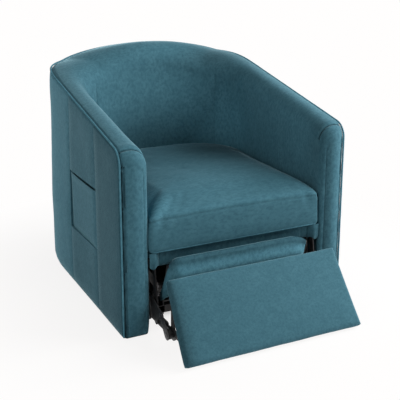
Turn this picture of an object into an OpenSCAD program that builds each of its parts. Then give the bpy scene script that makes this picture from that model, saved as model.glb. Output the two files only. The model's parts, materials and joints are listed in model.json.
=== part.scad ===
// Barrel lift recliner: upholstered tub on a power lift base, with a two-stage footrest.
// X runs across the chair, the front faces -Y, and Z = 0 is the floor. The footrest is drawn half open.

/* [Tub] */
// Outside width over both arms
body_w = 780; // [740:5:840]
// Depth from the arm fronts to the outside of the back
body_d = 800; // [770:5:850]
// Depth at which the arms start to turn into the back
arm_run = 560; // [540:5:580]
// Thickness of an arm
arm_t = 85; // [80:1:95]
// Thickness of the back at its middle
back_t = 118; // [110:1:135]
// Height of the piping at the front of the arms
arm_h = 585; // [560:5:620]
// Rise of the arm line from the arm fronts to the outside of the back
arm_rise = 158; // [120:2:190]
// Height of the crowned back over the arm line
crown_h = 38; // [10:2:60]
// Gap between the floor and the upholstery
floor_gap = 18; // [14:1:24]
// Radius of the arm's front top corner, seen from the side
arm_nose_r = 42; // [32:1:60]
// Depth of the padded roll on the inner top edge
roll_h = 62; // [40:1:80]
// Depth of that roll at the arm front
roll_front_h = 34; // [24:1:60]
// Diameter of the piping cord
piping_d = 6.5; // [5:0.5:10]

/* [Seat] */
// Height of the seat cushion's underside
seat_z = 262; // [256:1:270]
// Height of the cushion's top seam over its underside
cushion_side_h = 118; // [90:1:130]
// Rise of the crown over the top seam
cushion_crown = 44; // [10:1:60]
// Gap between the cushion and the tub
cushion_gap = 3; // [2:0.5:6]
// Height of the padded rail under the cushion
rail_h = 48; // [44:1:52]
// Thickness of the padded rail
rail_t = 16; // [12:1:18]

/* [Footrest] */
// Distance of the footrest's ends from the line of the arms' inner faces
footrest_gap = 8; // [6:1:25]
// Height of the footrest panel along its slope
footrest_l = 256; // [240:1:262]
// Thickness of the footrest panel
footrest_t = 38; // [34:1:40]
// Angle of the panel from upright, as drawn
footrest_tilt = 37; // [30:1:42]
// Gap between the ends of the small inner pad and the steel links
flap_gap = 34; // [32:1:56]
// Radius of the inner pad's top edge
flap_top_r = 13; // [10:0.5:14]
// Radius of the inner pad's fat lower edge
flap_low_r = 22; // [18:0.5:24]
// Thickness of the steel links
link_t = 4; // [3:0.5:4.5]
// Width of the steel links
link_w = 24; // [20:1:26]
// Radius of the link rivets
rivet_r = 5; // [4:0.5:6]

/* [Pocket] */
// Distance of the pocket's front seam from the arm front
pocket_y = 214; // [180:2:240]
// Width of the pocket
pocket_w = 246; // [200:2:280]
// Height of the pocket's lower seam
pocket_z = 215; // [180:1:240]
// Height of the pocket panel
pocket_h = 194; // [175:1:220]
// Height of the open slot over the panel
pocket_slot_h = 8; // [7:1:16]
// Depth of the pocket inside the arm
pocket_depth = 24; // [20:1:26]

/* [Lift base] */
// Distance of the seat frame from the inner face of each arm
frame_inset = 53; // [48:1:60]
// Distance of the base's outer faces from its pivot plates
base_lip = 26; // [24:1:30]
// Distance from the arm fronts to the base
base_y = 96; // [90:1:110]
// Gap between the rear corners of the base and the back of the tub
base_back_gap = 13.3; // [8:0.1:30]
// Height of a base rail tube
base_tube_h = 25; // [20:1:30]
// Width of a base rail tube
base_tube_w = 30; // [25:1:35]
// Thickness of the lift arms
lift_arm_t = 6; // [5:0.5:7]
// Width of the lift arms
lift_arm_w = 30; // [26:1:34]
// Radius of the lift pivot pins
lift_pin_r = 8; // [6:0.5:9]

/* [Hidden] */

$fn = 48;
fabric_color = [0.20, 0.37, 0.42];
lining_color = [0.13, 0.13, 0.14];
steel_color = [0.09, 0.09, 0.10];
zinc_color = [0.72, 0.73, 0.74];
wood_color = [0.72, 0.58, 0.40];
plastic_color = [0.12, 0.12, 0.13];
button_color = [0.55, 0.57, 0.60];

// Small clearances and overruns
fit = 0.05;         // radial clearance of a pin in its bore
seat_gap = 0.3;     // clearance between soft or seated pieces
layer_gap = 1;      // side clearance between two links
over = 2;           // overrun of cuts

// The arm fronts lie this far in front of the origin, which is under the middle of the half-open chair
foot_reach = 259;
front_y = (foot_reach - body_d) / 2;

half_w = body_w / 2;
inner_half_w = half_w - arm_t;
inner_back_y = body_d - back_t;
back_turn = body_d - arm_run;
inner_lead = 60;    // the inner curve starts this far before the outer one
inner_run = arm_run - inner_lead;
inner_turn = inner_back_y - inner_run;
outer_power = 4;
inner_power = 2.2;

// Superellipse point: a is the half width, b the depth, t the angle from the left end
function super_xy(a, b, power, t) =
  [-a * sign(cos(t)) * pow(abs(cos(t)), 2 / power), b * pow(abs(sin(t)), 2 / power)];
function outer_xy(t) = [0, arm_run] + super_xy(half_w, back_turn, outer_power, t);
// Inner face of the arm at depth y
function inner_x(y) = y <= inner_run ? inner_half_w
  : inner_half_w * pow(1 - pow((y - inner_run) / inner_turn, inner_power), 1 / inner_power);

// Inner face of the back at a distance x from the middle
function inner_y(x) = inner_run + inner_turn * pow(1 - pow(x / inner_half_w, inner_power), 1 / inner_power);

crown_half_share = 0.82;
function arm_line(y) = arm_h + arm_rise * y / body_d;
function crown(x) = crown_h * max(0, 1 - pow(x / (half_w * crown_half_share), 2));
function top_z(p) = arm_line(p[1]) + crown(p[0]);

// One closed solid from rings of points, all wound the same way and fanned shut at both ends
function mean(list) = [for (k = [0:2]) sum_of([for (p = list) p[k]]) / len(list)];
function sum_of(v, i = 0) = i >= len(v) ? 0 : v[i] + sum_of(v, i + 1);
module loft(rings) {
  n = len(rings[0]);
  m = len(rings);
  points = concat([for (r = rings) each r], [mean(rings[0]), mean(rings[m - 1])]);
  sides = [for (i = [0:m - 2]) for (j = [0:n - 1])
    let (a = i * n + j, b = i * n + (j + 1) % n) each [[a, a + n, b], [b, a + n, b + n]]];
  first = [for (j = [0:n - 1]) [m * n, j, (j + 1) % n]];
  last = [for (j = [0:n - 1]) [m * n + 1, (m - 1) * n + (j + 1) % n, (m - 1) * n + j]];
  polyhedron(points = points, faces = concat(sides, first, last), convexity = 6);
}

module chair() translate([0, front_y, 0]) children();
module both_sides() { children(); mirror([1, 0, 0]) children(); }

// Flat plate in the YZ plane between x0 and x0 + t, drawn as a Y, Z outline
module plate_x(x0, t) translate([x0, 0, 0]) rotate([90, 0, 90]) linear_extrude(t) children();
// Round bar along X
module bar_x(x0, length, p, r) translate([x0, p[0], p[1]]) rotate([0, 90, 0]) cylinder(r = r, h = length);
module disc_at(p, r) translate(p) circle(r);
// Link outline through its pivots, with round ends that stand a little proud of its straight sides
link_waist = 0.4;
module links_2d(points, w) {
  for (p = points) disc_at(p, w / 2);
  for (k = [1:len(points) - 1]) let (a = points[k - 1], d = points[k] - a)
    translate(a) rotate(atan2(d[1], d[0])) translate([0, link_waist - w / 2])
      square([norm(d), w - 2 * link_waist]);
}
module link_2d(a, b, w) links_2d([a, b], w);

// Widths that follow the space between the arms
rail_w = 40;
frame_out = inner_half_w - frame_inset;   // outer and inner faces of the seat frame's side rails
frame_x = frame_out - rail_w;
lug_inset = 2;
plate_x0 = frame_x + lug_inset;           // inner face of the pivot plates and of the lugs above them
base_w = 2 * (plate_x0 + base_lip);

// Lift base: every place is measured from the arm fronts and the floor
glide_h = 12;
glide_r = 18;
glide_inset = 22;
base_z = glide_h;
base_top = base_z + base_tube_h;
base_wall = 2;
base_x = base_w / 2 - base_tube_w;       // inner face of a side rail
base_end = inner_y(base_w / 2) - base_back_gap;
base_l = base_end - base_y;
plate_t = 4;
lift_gap = 2;
main_x0 = plate_x0 - lift_gap - lift_arm_t;
guide_x0 = plate_x0 + plate_t + lift_gap;
lift_pivot_way = [42, 80];               // pivots on the base, from the foot of its front end
lift_guide_way = [24, 101];
seat_pivot_way = [-52, 98];              // pivots on the seat frame, from the foot of the base's rear end
seat_guide_way = [-144, 156];
motor_pin_way = [4, 60];
lift_pivot = [base_y, 0] + lift_pivot_way;
lift_guide_pivot = [base_y, 0] + lift_guide_way;
seat_pivot = [base_end, 0] + seat_pivot_way;
seat_guide_pivot = [base_end, 0] + seat_guide_way;   // the open pivot
guide_play = 1;                          // radial play at the open pivot
tube_r = 15;
guide_tube_r = 9;
guide_tube_back = [-34, -5];             // cross tube from the guide arm's upper pivot
crank_way = [38, 42];
crank_pin = lift_pivot + crank_way;
crank_t = 6;
crank_w = 26;
crank_pin_r = 6;
crank_play = 2.6;                          // radial play at the rod's open pivot
rod_eye_t = 16;
rod_eye_r = 15;
motor_pin = [base_end, 0] + motor_pin_way;           // hinge of the lift motor on the base
motor_pin_r = 6;
motor_eye_t = 18;
ear_t = 5;
rod_r = 9;
motor_tube_r = 19;
motor_tube_l = 250;
rod_lap = 90;                            // how much of the rod is inside the tube
gear_l = 56;
gear_r = 30;
lift_can_r = 27;
lift_can_l = 105;

module base_side_rails() color(steel_color) chair() both_sides()
  translate([base_x, base_y, base_z]) difference() {
    cube([base_tube_w, base_l, base_tube_h]);
    translate([base_wall, -over, base_wall])
      cube([base_tube_w - 2 * base_wall, base_l + 2 * over, base_tube_h - 2 * base_wall]);
  }

cross_d = 24;
module base_cross_tube(y) translate([-base_x, y, base_z]) difference() {
  cube([2 * base_x, cross_d, base_tube_h]);
  translate([-over, base_wall, base_wall])
    cube([2 * base_x + 2 * over, cross_d - 2 * base_wall, base_tube_h - 2 * base_wall]);
}
rear_cross_y = base_end - cross_d;
module base_cross_tubes() color(steel_color) chair() {
  base_cross_tube(base_y);
  base_cross_tube(rear_cross_y);
}

module floor_glides() color(plastic_color) chair() both_sides()
  for (y = [base_y + glide_inset, base_end - glide_inset])
    translate([base_x + base_tube_w / 2, y, 0]) {
      cylinder(r1 = glide_r - base_wall, r2 = glide_r, h = base_wall);
      translate([0, 0, base_wall]) cylinder(r = glide_r, h = glide_h - base_wall);
    }

// Plates on the side rails that carry both front pivots of each side
plate_pad = 14;
module lift_pivot_plates() color(steel_color) chair() both_sides()
  plate_x(plate_x0, plate_t) difference() {
    union() {
      disc_at(lift_pivot, plate_pad);
      disc_at(lift_guide_pivot, plate_pad);
      polygon([[base_y, base_top], [base_y + 3 * plate_pad, base_top],
        lift_pivot + [plate_pad, 0], lift_guide_pivot + [0, plate_pad], lift_guide_pivot - [plate_pad, 0]]);
    }
    disc_at(lift_pivot, lift_pin_r + fit);
    disc_at(lift_guide_pivot, lift_pin_r + fit);
  }

pin_head_lip = 4;
pin_head_r = lift_pin_r + pin_head_lip;
pin_head_t = 3;
pin_lip = 1;
// A headed pin from x0 to x1 with its head beyond x0 on the side dir
module headed_pin(p, r, x0, x1, head_r, head_t, head_at) {
  bar_x(min(x0, x1), abs(x1 - x0), p, r);
  bar_x(head_at, head_t, p, head_r);
}
// Main arm pins run inwards from the plate, guide arm pins outwards
module lift_pivot_pins() color(zinc_color) chair() both_sides() {
  bar_x(main_x0 - pin_lip, plate_x0 + plate_t - main_x0 + pin_lip, lift_pivot, lift_pin_r);
  headed_pin(lift_guide_pivot, lift_pin_r, plate_x0, guide_x0 + lift_arm_t, pin_head_r, pin_head_t,
    guide_x0 + lift_arm_t);
}

box_size = [110, 60, 34];
box_r = 6;
// The box stands between the motor's bracket and the lift arm, at this share of the free width
box_place_share = 5 / 9;
bracket_half_w = motor_eye_t / 2 + ear_t + lift_gap / 2;
box_x = -bracket_half_w - box_size[0] - (main_x0 - bracket_half_w - box_size[0]) * box_place_share;
inlet_r = 8;
inlet_bore = 3.5;
inlet_deep = 16;
inlet_rim = 3;
module control_box() color(plastic_color) chair()
  translate([box_x, rear_cross_y - box_size[1] + cross_d, base_top]) difference() {
    union() {
      translate([box_r, 0, 0]) cube([box_size[0] - 2 * box_r, box_size[1], box_size[2]]);
      translate([0, box_r, 0]) cube([box_size[0], box_size[1] - 2 * box_r, box_size[2]]);
      for (x = [box_r, box_size[0] - box_r], y = [box_r, box_size[1] - box_r])
        translate([x, y, 0]) cylinder(r = box_r, h = box_size[2]);
    }
    translate([box_size[0] / 2, box_size[1] - inlet_deep, box_size[2] / 2]) rotate([-90, 0, 0])
      cylinder(r = inlet_r + fit, h = inlet_deep + over);
  }
module power_inlet() color(steel_color) chair()
  translate([box_x + box_size[0] / 2, rear_cross_y + cross_d - inlet_deep, base_top + box_size[2] / 2])
    rotate([-90, 0, 0]) difference() {
      union() {
        cylinder(r = inlet_r, h = inlet_deep);
        translate([0, 0, inlet_deep]) cylinder(r = inlet_r + inlet_rim, h = inlet_rim);
      }
      translate([0, 0, inlet_rim]) cylinder(r = inlet_bore, h = inlet_deep + inlet_rim);
    }

module lift_motor_bracket() color(steel_color) chair() {
  for (x = [-bracket_half_w, bracket_half_w - ear_t])
    plate_x(x, ear_t) {
      disc_at(motor_pin, 2 * motor_pin_r);
      polygon([[rear_cross_y, base_top], [rear_cross_y + cross_d, base_top],
        motor_pin + [2 * motor_pin_r, 0], motor_pin - [2 * motor_pin_r, 0]]);
    }
  bar_x(-bracket_half_w, 2 * bracket_half_w, motor_pin, motor_pin_r);
}

// Lift arms: one welded frame of two arms, a cross tube and the crank that the rod pushes
module main_lift_arms() color(steel_color) chair() difference() {
  union() {
    both_sides() plate_x(main_x0, lift_arm_t) link_2d(lift_pivot, seat_pivot, lift_arm_w);
    bar_x(-main_x0, 2 * main_x0, lift_pivot, tube_r);
    both_sides() plate_x(rod_eye_t / 2 + lift_gap / 2, crank_t) link_2d(lift_pivot, crank_pin, crank_w);
    bar_x(-rod_eye_t / 2 - crank_t, rod_eye_t + 2 * crank_t, crank_pin, crank_pin_r);
  }
  bar_x(-main_x0 - lift_arm_t - over, 2 * (main_x0 + lift_arm_t + over), lift_pivot, lift_pin_r + fit);
  both_sides() bar_x(main_x0 - over, lift_arm_t + 2 * over, seat_pivot, lift_pin_r + fit);
}

module guide_lift_arms() color(steel_color) chair() {
  both_sides() plate_x(guide_x0, lift_arm_t) difference() {
    link_2d(lift_guide_pivot, seat_guide_pivot, lift_arm_w - base_wall);
    disc_at(lift_guide_pivot, lift_pin_r + fit);
    disc_at(seat_guide_pivot, lift_pin_r + guide_play);
  }
  bar_x(-guide_x0, 2 * guide_x0, seat_guide_pivot + guide_tube_back, guide_tube_r);
}

// The lift motor lies along the line from its hinge to the crank pin
motor_way = crank_pin - motor_pin;
motor_turn = atan2(motor_way[1], motor_way[0]);
motor_reach = norm(motor_way);
module along_rod() translate([0, motor_pin[0], motor_pin[1]]) rotate([motor_turn, 0, 0]) children();
tube_start = gear_l / 2;
tube_end = tube_start + motor_tube_l;
rod_start = tube_end - rod_lap;
module lift_motor() color(plastic_color) chair() along_rod() difference() {
  union() {
    bar_x(-motor_eye_t / 2, motor_eye_t, [0, 0], 2 * motor_pin_r);
    translate([-motor_eye_t / 2, 0, -motor_pin_r]) cube([motor_eye_t, gear_l / 2, 2 * motor_pin_r]);
    translate([0, tube_start, 0]) rotate([-90, 0, 0]) cylinder(r = gear_r, h = gear_l);
    translate([0, tube_start + gear_l, 0]) rotate([-90, 0, 0])
      cylinder(r = motor_tube_r, h = motor_tube_l - gear_l);
    bar_x(gear_r / 2, lift_can_l, [tube_start + gear_l / 2, 0], lift_can_r);
  }
  bar_x(-motor_eye_t, 2 * motor_eye_t, [0, 0], motor_pin_r + fit);
  translate([0, rod_start - crank_w, 0]) rotate([-90, 0, 0])
    cylinder(r = rod_r + fit, h = motor_reach);
}

module lift_rod() color(zinc_color) chair() along_rod() difference() {
  union() {
    translate([0, rod_start, 0]) rotate([-90, 0, 0]) cylinder(r = rod_r, h = motor_reach - rod_start);
    bar_x(-rod_eye_t / 2, rod_eye_t, [motor_reach, 0], rod_eye_r);
  }
  bar_x(-rod_eye_t, 2 * rod_eye_t, [motor_reach, 0], crank_pin_r + crank_play);
}

// Seat frame
web_t = 3;
frame_top = seat_z - seat_gap - web_t;
frame_h = 38;
frame_z = frame_top - frame_h;
rail_y = 14;
rail_back = rail_y + rail_t;
front_bar_t = 6;
frame_y = rail_back + seat_gap;
// The frame ends where the back of the tub leaves room for its rear corners
tub_gap = 6;
frame_end = inner_y(frame_out) - tub_gap;
rear_bar_t = 30;
torque_y = 60;
torque_drop = 34;                         // from the cushion's underside down to the torque tube
drive_pivot = [torque_y, seat_z - torque_drop];
torque_r = 11;
module seat_frame() color(steel_color) chair() difference() {
  union() {
    both_sides() translate([frame_x, frame_y, frame_z])
      cube([rail_w, frame_end - frame_y, frame_top - frame_z]);
    translate([-frame_x, frame_y, frame_z]) cube([2 * frame_x, front_bar_t, frame_top - frame_z]);
    translate([-frame_x, frame_end - rear_bar_t, frame_z]) cube([2 * frame_x, rear_bar_t, frame_top - frame_z]);
  }
  bar_x(-half_w, body_w, drive_pivot, torque_r + fit);
  for (y = block_ys) bar_x(-half_w, body_w, [y + block_l / 2, block_z + block_h / 2], bolt_r + fit);
}

lug_x0 = plate_x0;
lug_t = plate_t;
lug_pad = 15;
module lift_lugs() color(steel_color) chair() both_sides() plate_x(lug_x0, lug_t) difference() {
  union() {
    disc_at(seat_pivot, lug_pad);
    disc_at(seat_guide_pivot, lug_pad);
    polygon([seat_guide_pivot - [lug_pad, 0], seat_pivot - [lug_pad, 0], seat_pivot + [lug_pad, 0],
      [frame_end - rear_bar_t / 2, frame_z], [seat_guide_pivot[0] - lug_pad, frame_z]]);
  }
  disc_at(seat_pivot, lift_pin_r + fit);
  disc_at(seat_guide_pivot, lift_pin_r + fit);
}
module lift_lug_pins() color(zinc_color) chair() both_sides() {
  headed_pin(seat_pivot, lift_pin_r, main_x0 - pin_lip, lug_x0 + lug_t, pin_head_r, pin_head_t,
    main_x0 - pin_lip - pin_head_t);
  headed_pin(seat_guide_pivot, lift_pin_r, lug_x0, guide_x0 + lift_arm_t, pin_head_r, pin_head_t,
    guide_x0 + lift_arm_t);
}

// Wood blocks and bolts that tie the tub's arm panels to the seat frame
panel_t = 18;
panel_in = 28;                            // from the arm's outer face to its wood panel
panel_x = half_w - panel_in - panel_t;    // inner face of the arm's wood panel
panel_foot = 4;
arm_panel_y = 40;
arm_panel_end = arm_run - arm_panel_y;
arm_panel_drop = 60;
block_l = 40;
block_h = 30;
block_lift = 4;
block_z = frame_z + block_lift;
block_front_y = 300;
// The rear block ends with the arm panel, or before the frame's rear bar where that comes first
block_rear_y = min(arm_panel_end, frame_end - rear_bar_t - seat_gap) - block_l;
block_ys = [block_front_y, block_rear_y];
bolt_r = 4;
bolt_head_r = 8;
bolt_head_t = 4;
module arm_spacer_blocks() color(wood_color) chair() both_sides() for (y = block_ys) difference() {
  translate([frame_out, y, block_z]) cube([panel_x - frame_out, block_l, block_h]);
  bar_x(frame_out - over, panel_x - frame_out + 2 * over, [y + block_l / 2, block_z + block_h / 2], bolt_r + fit);
}
module tub_bolts() color(zinc_color) chair() both_sides() for (y = block_ys)
  let (p = [y + block_l / 2, block_z + block_h / 2]) {
    bar_x(frame_x - bolt_head_t, bolt_head_t, p, bolt_head_r);
    bar_x(frame_x, panel_x + panel_t - frame_x, p, bolt_r);
  }

// Footrest linkage. Side layers, from the inside out: control link, bracket, carrier bar, guide link, drive link
link_inset = 29;                          // from the arm's inner face to the carrier bar's inner face
carrier_x = inner_half_w - link_inset;
footrest_w = 2 * (inner_half_w - footrest_gap);
flap_w = 2 * (carrier_x - flap_gap);
guide_x = carrier_x + link_t + layer_gap;
drive_x = guide_x + link_t + layer_gap;
bracket_x = carrier_x - layer_gap - link_t;
control_x = bracket_x - layer_gap - link_t;
drive_lead = 20;                          // the lower pivot's place in front of the torque tube, as drawn
carrier_z = 43;
guide_way = [-44, 0];
carrier_way = [-143, 2];
carrier_pivot = [torque_y - drive_lead, carrier_z];
guide_top = drive_pivot + guide_way;
guide_low = carrier_pivot + guide_way;
// The guide link is bent forwards here, which keeps it clear of the drive link's rivet when open
guide_bow = [-9, 0];
guide_knee_share = 0.25;
guide_knee = guide_low + (guide_top - guide_low) * guide_knee_share + guide_bow;
foot_pivot = carrier_pivot + carrier_way;
control_crank = [23.9, 1.6];
control_low = carrier_pivot + control_crank;
bracket_crank = [56.8, 2];
control_end = foot_pivot + bracket_crank;
control_play = 1.5;                      // radial play at the control link's open pivot
flap_hang = [-16, 73];
flap_pivot = carrier_pivot + flap_hang;
rivet_head_lip = 3;
rivet_head_r = rivet_r + rivet_head_lip;
rivet_head_t = 2;

plate_tail = 62;
plate_wall = 7;
rivet_wall = 4;
hub_wall = 6;
module linkage_plates() color(steel_color) chair() both_sides() {
  plate_x(carrier_x, link_t) difference() {
    hull() {
      disc_at(drive_pivot, torque_r + plate_wall);
      disc_at(guide_top, rivet_head_r + rivet_wall);
      translate(drive_pivot + [plate_tail - link_w, -link_w / 2]) square([link_w, link_w]);
    }
    disc_at(drive_pivot, torque_r + fit);
    disc_at(guide_top, rivet_r + fit);
  }
  translate([frame_out, drive_pivot[0] + plate_tail - link_w, drive_pivot[1] - link_w / 2 + link_t / 2])
    cube([carrier_x - frame_out, link_w - link_t, link_w - link_t]);
}
module linkage_plate_rivets() color(zinc_color) chair() both_sides() {
  bar_x(carrier_x, guide_x + link_t - carrier_x, guide_top, rivet_r);
}

module torque_tube() color(steel_color) chair() difference() {
  bar_x(-drive_x - link_t, 2 * (drive_x + link_t), drive_pivot, torque_r);
  bar_x(-half_w, body_w, drive_pivot, torque_r - base_wall);
}
module drive_link(side) color(steel_color) chair() mirror([side, 0, 0]) {
  plate_x(drive_x, link_t) difference() {
    union() {
      link_2d(drive_pivot, carrier_pivot, link_w);
      link_2d(carrier_pivot, control_low, link_w - over);
      disc_at(drive_pivot, torque_r + hub_wall);
    }
    disc_at(drive_pivot, torque_r + fit);
    disc_at(carrier_pivot, rivet_r + fit);
  }
  bar_x(control_x - rivet_head_t, drive_x - control_x + rivet_head_t, control_low, rivet_r);
}
module drive_link_left() drive_link(1);
module drive_link_right() drive_link(0);

module guide_link(side) color(steel_color) chair() mirror([side, 0, 0])
  plate_x(guide_x, link_t) difference() {
    links_2d([guide_top, guide_knee, guide_low], link_w - over);
    disc_at(guide_top, rivet_r + fit);
    disc_at(guide_low, rivet_r + fit);
  }
module guide_link_left() guide_link(1);
module guide_link_right() guide_link(0);

module carrier_bar(side) color(steel_color) chair() mirror([side, 0, 0])
  plate_x(carrier_x, link_t) difference() {
    union() {
      link_2d(carrier_pivot, foot_pivot, link_w);
      link_2d(flap_pivot, [flap_pivot[0], carrier_pivot[1]], link_w - over);
    }
    for (p = [carrier_pivot, guide_low, foot_pivot, flap_pivot]) disc_at(p, rivet_r + fit);
  }
module carrier_bar_left() carrier_bar(1);
module carrier_bar_right() carrier_bar(0);

flap_plate_t = 3;
flap_plate_x = flap_w / 2 + seat_gap;
module carrier_rivets(side) color(zinc_color) chair() mirror([side, 0, 0]) {
  bar_x(carrier_x, drive_x + link_t - carrier_x, carrier_pivot, rivet_r);
  bar_x(drive_x + link_t, rivet_head_t, carrier_pivot, rivet_head_r);
  bar_x(carrier_x, guide_x + link_t - carrier_x, guide_low, rivet_r);
  bar_x(bracket_x, carrier_x + link_t - bracket_x, foot_pivot, rivet_r);
  bar_x(carrier_x + link_t, rivet_head_t, foot_pivot, rivet_head_r);
  bar_x(flap_plate_x, carrier_x + link_t - flap_plate_x, flap_pivot, rivet_r);
}
module carrier_rivets_left() carrier_rivets(1);
module carrier_rivets_right() carrier_rivets(0);

module control_link(side) color(steel_color) chair() mirror([side, 0, 0])
  plate_x(control_x, link_t) difference() {
    link_2d(control_low, control_end, link_w - over);
    disc_at(control_low, rivet_r + fit);
    disc_at(control_end, rivet_r + control_play);
  }
module control_link_left() control_link(1);
module control_link_right() control_link(0);

// The footrest panel's own frame: s runs down the panel from its top edge, h inwards from its face
panel_way = [-3, 177];                    // from the panel's pivot to its top front edge
panel_top = foot_pivot + panel_way;
function on_panel(s, h) = panel_top + s * [-sin(footrest_tilt), -cos(footrest_tilt)]
  + h * [cos(footrest_tilt), -sin(footrest_tilt)];
module at_panel() translate([0, panel_top[0], panel_top[1]]) rotate([-footrest_tilt, 0, 0]) children();

board_t = 12;
board_in = 16;
pad_r = 12;
pad_steps = 5;
// Rounded rectangle ring of half width a and half height b around the panel's middle at depth h
function pad_ring(a, b, r, h) = [for (c = [[1, 1, 0], [-1, 1, 90], [-1, -1, 180], [1, -1, 270]])
  for (k = [0:pad_steps]) let (t = c[2] + 90 * k / pad_steps)
    [c[0] * (a - r) + r * cos(t), h, -footrest_l / 2 + c[1] * (b - r) + r * sin(t)]];
pad_in_share = [0.5, 0.22, 0.06, 0, 0.03, 0.05, 0.5, 0.9];
pad_h_share = [0, 0.03, 0.14, 0.3, 0.5, 0.72, 0.92, 1];
module footrest_pad() color(fabric_color) chair() at_panel() difference() {
  loft([for (k = [0:len(pad_in_share) - 1]) let (d = pad_in_share[k] * pad_r)
    pad_ring(footrest_w / 2 - d, footrest_l / 2 - d, pad_r, footrest_t * pad_h_share[k])]);
  translate([-footrest_w / 2 + board_in - seat_gap, footrest_t - board_t - seat_gap, board_in - seat_gap - footrest_l])
    cube([footrest_w - 2 * board_in + 2 * seat_gap, board_t + over, footrest_l - 2 * board_in + 2 * seat_gap]);
}
module footrest_board() color(wood_color) chair() at_panel()
  translate([-footrest_w / 2 + board_in, footrest_t - board_t, board_in - footrest_l])
    cube([footrest_w - 2 * board_in, board_t, footrest_l - 2 * board_in]);

bracket_top_s = 62;
bracket_low_s = 176;
bracket_strip = 16;
bracket_top = on_panel(bracket_top_s, footrest_t + bracket_strip / 2 + seat_gap);
bracket_low = on_panel(bracket_low_s, footrest_t + bracket_strip / 2 + seat_gap);
module footrest_bracket(side) color(steel_color) chair() mirror([side, 0, 0])
  plate_x(bracket_x, link_t) difference() {
    union() {
      disc_at(foot_pivot, link_w - over);
      links_2d([control_end, foot_pivot, bracket_low], link_w - over);
      link_2d(foot_pivot, bracket_top, link_w);
      link_2d(bracket_top, bracket_low, bracket_strip);
    }
    disc_at(foot_pivot, rivet_r + fit);
    disc_at(control_end, rivet_r + fit);
    translate(panel_top) rotate(-footrest_tilt) translate([0, -2 * footrest_l])
      square([footrest_t + seat_gap, 2 * footrest_l]);
  }
module footrest_bracket_left() footrest_bracket(1);
module footrest_bracket_right() footrest_bracket(0);
module footrest_rivets() color(zinc_color) chair() both_sides() {
  bar_x(control_x, bracket_x + link_t - control_x, control_end, rivet_r);
  bar_x(control_x - rivet_head_t, rivet_head_t, control_end, rivet_head_r);
}
spacer_r = 7;
spacer_s = 120;
spacer_l = 12;
module footrest_spacers() color(zinc_color) chair() both_sides() at_panel()
  translate([bracket_x - spacer_r, footrest_t + seat_gap, -spacer_s]) rotate([-90, 0, 0]) {
    cylinder(r = spacer_r, h = spacer_l);
    translate([0, 0, spacer_l]) cylinder(r = spacer_r - base_wall, h = base_wall);
  }

// Inner pad: a long roll, thin at its top edge and fat below
flap_top_way = [-57, 191];
flap_low_way = [-18, 85];
flap_top = carrier_pivot + flap_top_way;
flap_low = carrier_pivot + flap_low_way;
flap_arm_share = 0.25;
flap_way = flap_low - flap_top;
flap_turn = atan2(flap_way[1], flap_way[0]);
flap_steps = 7;
function flap_ring(x, d) = concat(
  [for (k = [0:flap_steps]) let (t = flap_turn + 90 + 180 * k / flap_steps)
    [x, flap_top[0] + (flap_top_r - d) * cos(t), flap_top[1] + (flap_top_r - d) * sin(t)]],
  [for (k = [0:flap_steps]) let (t = flap_turn - 90 + 180 * k / flap_steps)
    [x, flap_low[0] + (flap_low_r - d) * cos(t), flap_low[1] + (flap_low_r - d) * sin(t)]]);
flap_edge_share = [0, 0.12, 0.4, 1];
flap_inset_share = [0.5, 0.25, 0.08, 0];
flap_edge = 16;
module flap_pad() color(fabric_color) chair() loft(concat(
  [for (k = [0:3]) flap_ring(-flap_w / 2 + flap_edge * flap_edge_share[k], flap_top_r * flap_inset_share[k])],
  [for (k = [3:-1:0]) flap_ring(flap_w / 2 - flap_edge * flap_edge_share[k], flap_top_r * flap_inset_share[k])]));
module flap_brackets() color(steel_color) chair() both_sides() plate_x(flap_plate_x, flap_plate_t) difference() {
  union() {
    link_2d(flap_top + flap_way * flap_arm_share, flap_pivot, 2 * flap_top_r - over);
    disc_at(flap_pivot, rivet_head_r + over);
  }
  disc_at(flap_pivot, rivet_r + fit);
}

// Hollow-shaft gear motor on the torque tube
gear_case_r = 22;
gear_case_t = 34;
foot_can = [50, 8];                       // motor can from the torque tube
foot_can_r = 20;
foot_can_l = 120;
foot_can_gap = 62;                        // from the can's end to the seat frame's side rail
gear_case_x = frame_x - foot_can_gap - foot_can_l;
module footrest_motor() color(plastic_color) chair() difference() {
  union() {
    plate_x(gear_case_x, gear_case_t) hull() {
      disc_at(drive_pivot, gear_case_r);
      disc_at(drive_pivot + foot_can, foot_can_r);
    }
    bar_x(gear_case_x, foot_can_l, drive_pivot + foot_can, foot_can_r);
    translate([gear_case_x, frame_y + front_bar_t + seat_gap, drive_pivot[1] - gear_case_r / 2])
      cube([gear_case_t, gear_case_r, gear_case_r]);
  }
  bar_x(gear_case_x - over, gear_case_t + 2 * over, drive_pivot, torque_r + fit);
}

// Elastic webbing on the seat frame
web_w = 50;
web_count = 5;
module seat_webbing() color(lining_color) chair() {
  pitch = (2 * frame_out - web_w) / (web_count - 1);
  for (k = [0:web_count - 1]) translate([-frame_out + k * pitch, frame_y, frame_top])
    cube([web_w, frame_end - frame_y, web_t]);
}

rail_inset = 35;                          // from the arm's inner face to the rail pad's end
rail_half_w = inner_half_w - rail_inset;
rail_round = 5;
module seat_rail_pad() color(fabric_color) chair() plate_x(-rail_half_w, 2 * rail_half_w)
  translate([rail_y, seat_z - rail_h]) {
    translate([rail_round, 0]) square([rail_t - rail_round, rail_h - seat_gap]);
    translate([0, rail_round]) square([rail_t, rail_h - 2 * rail_round - seat_gap]);
    for (z = [rail_round, rail_h - rail_round - seat_gap]) translate([rail_round, z]) circle(rail_round);
  }

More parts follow.
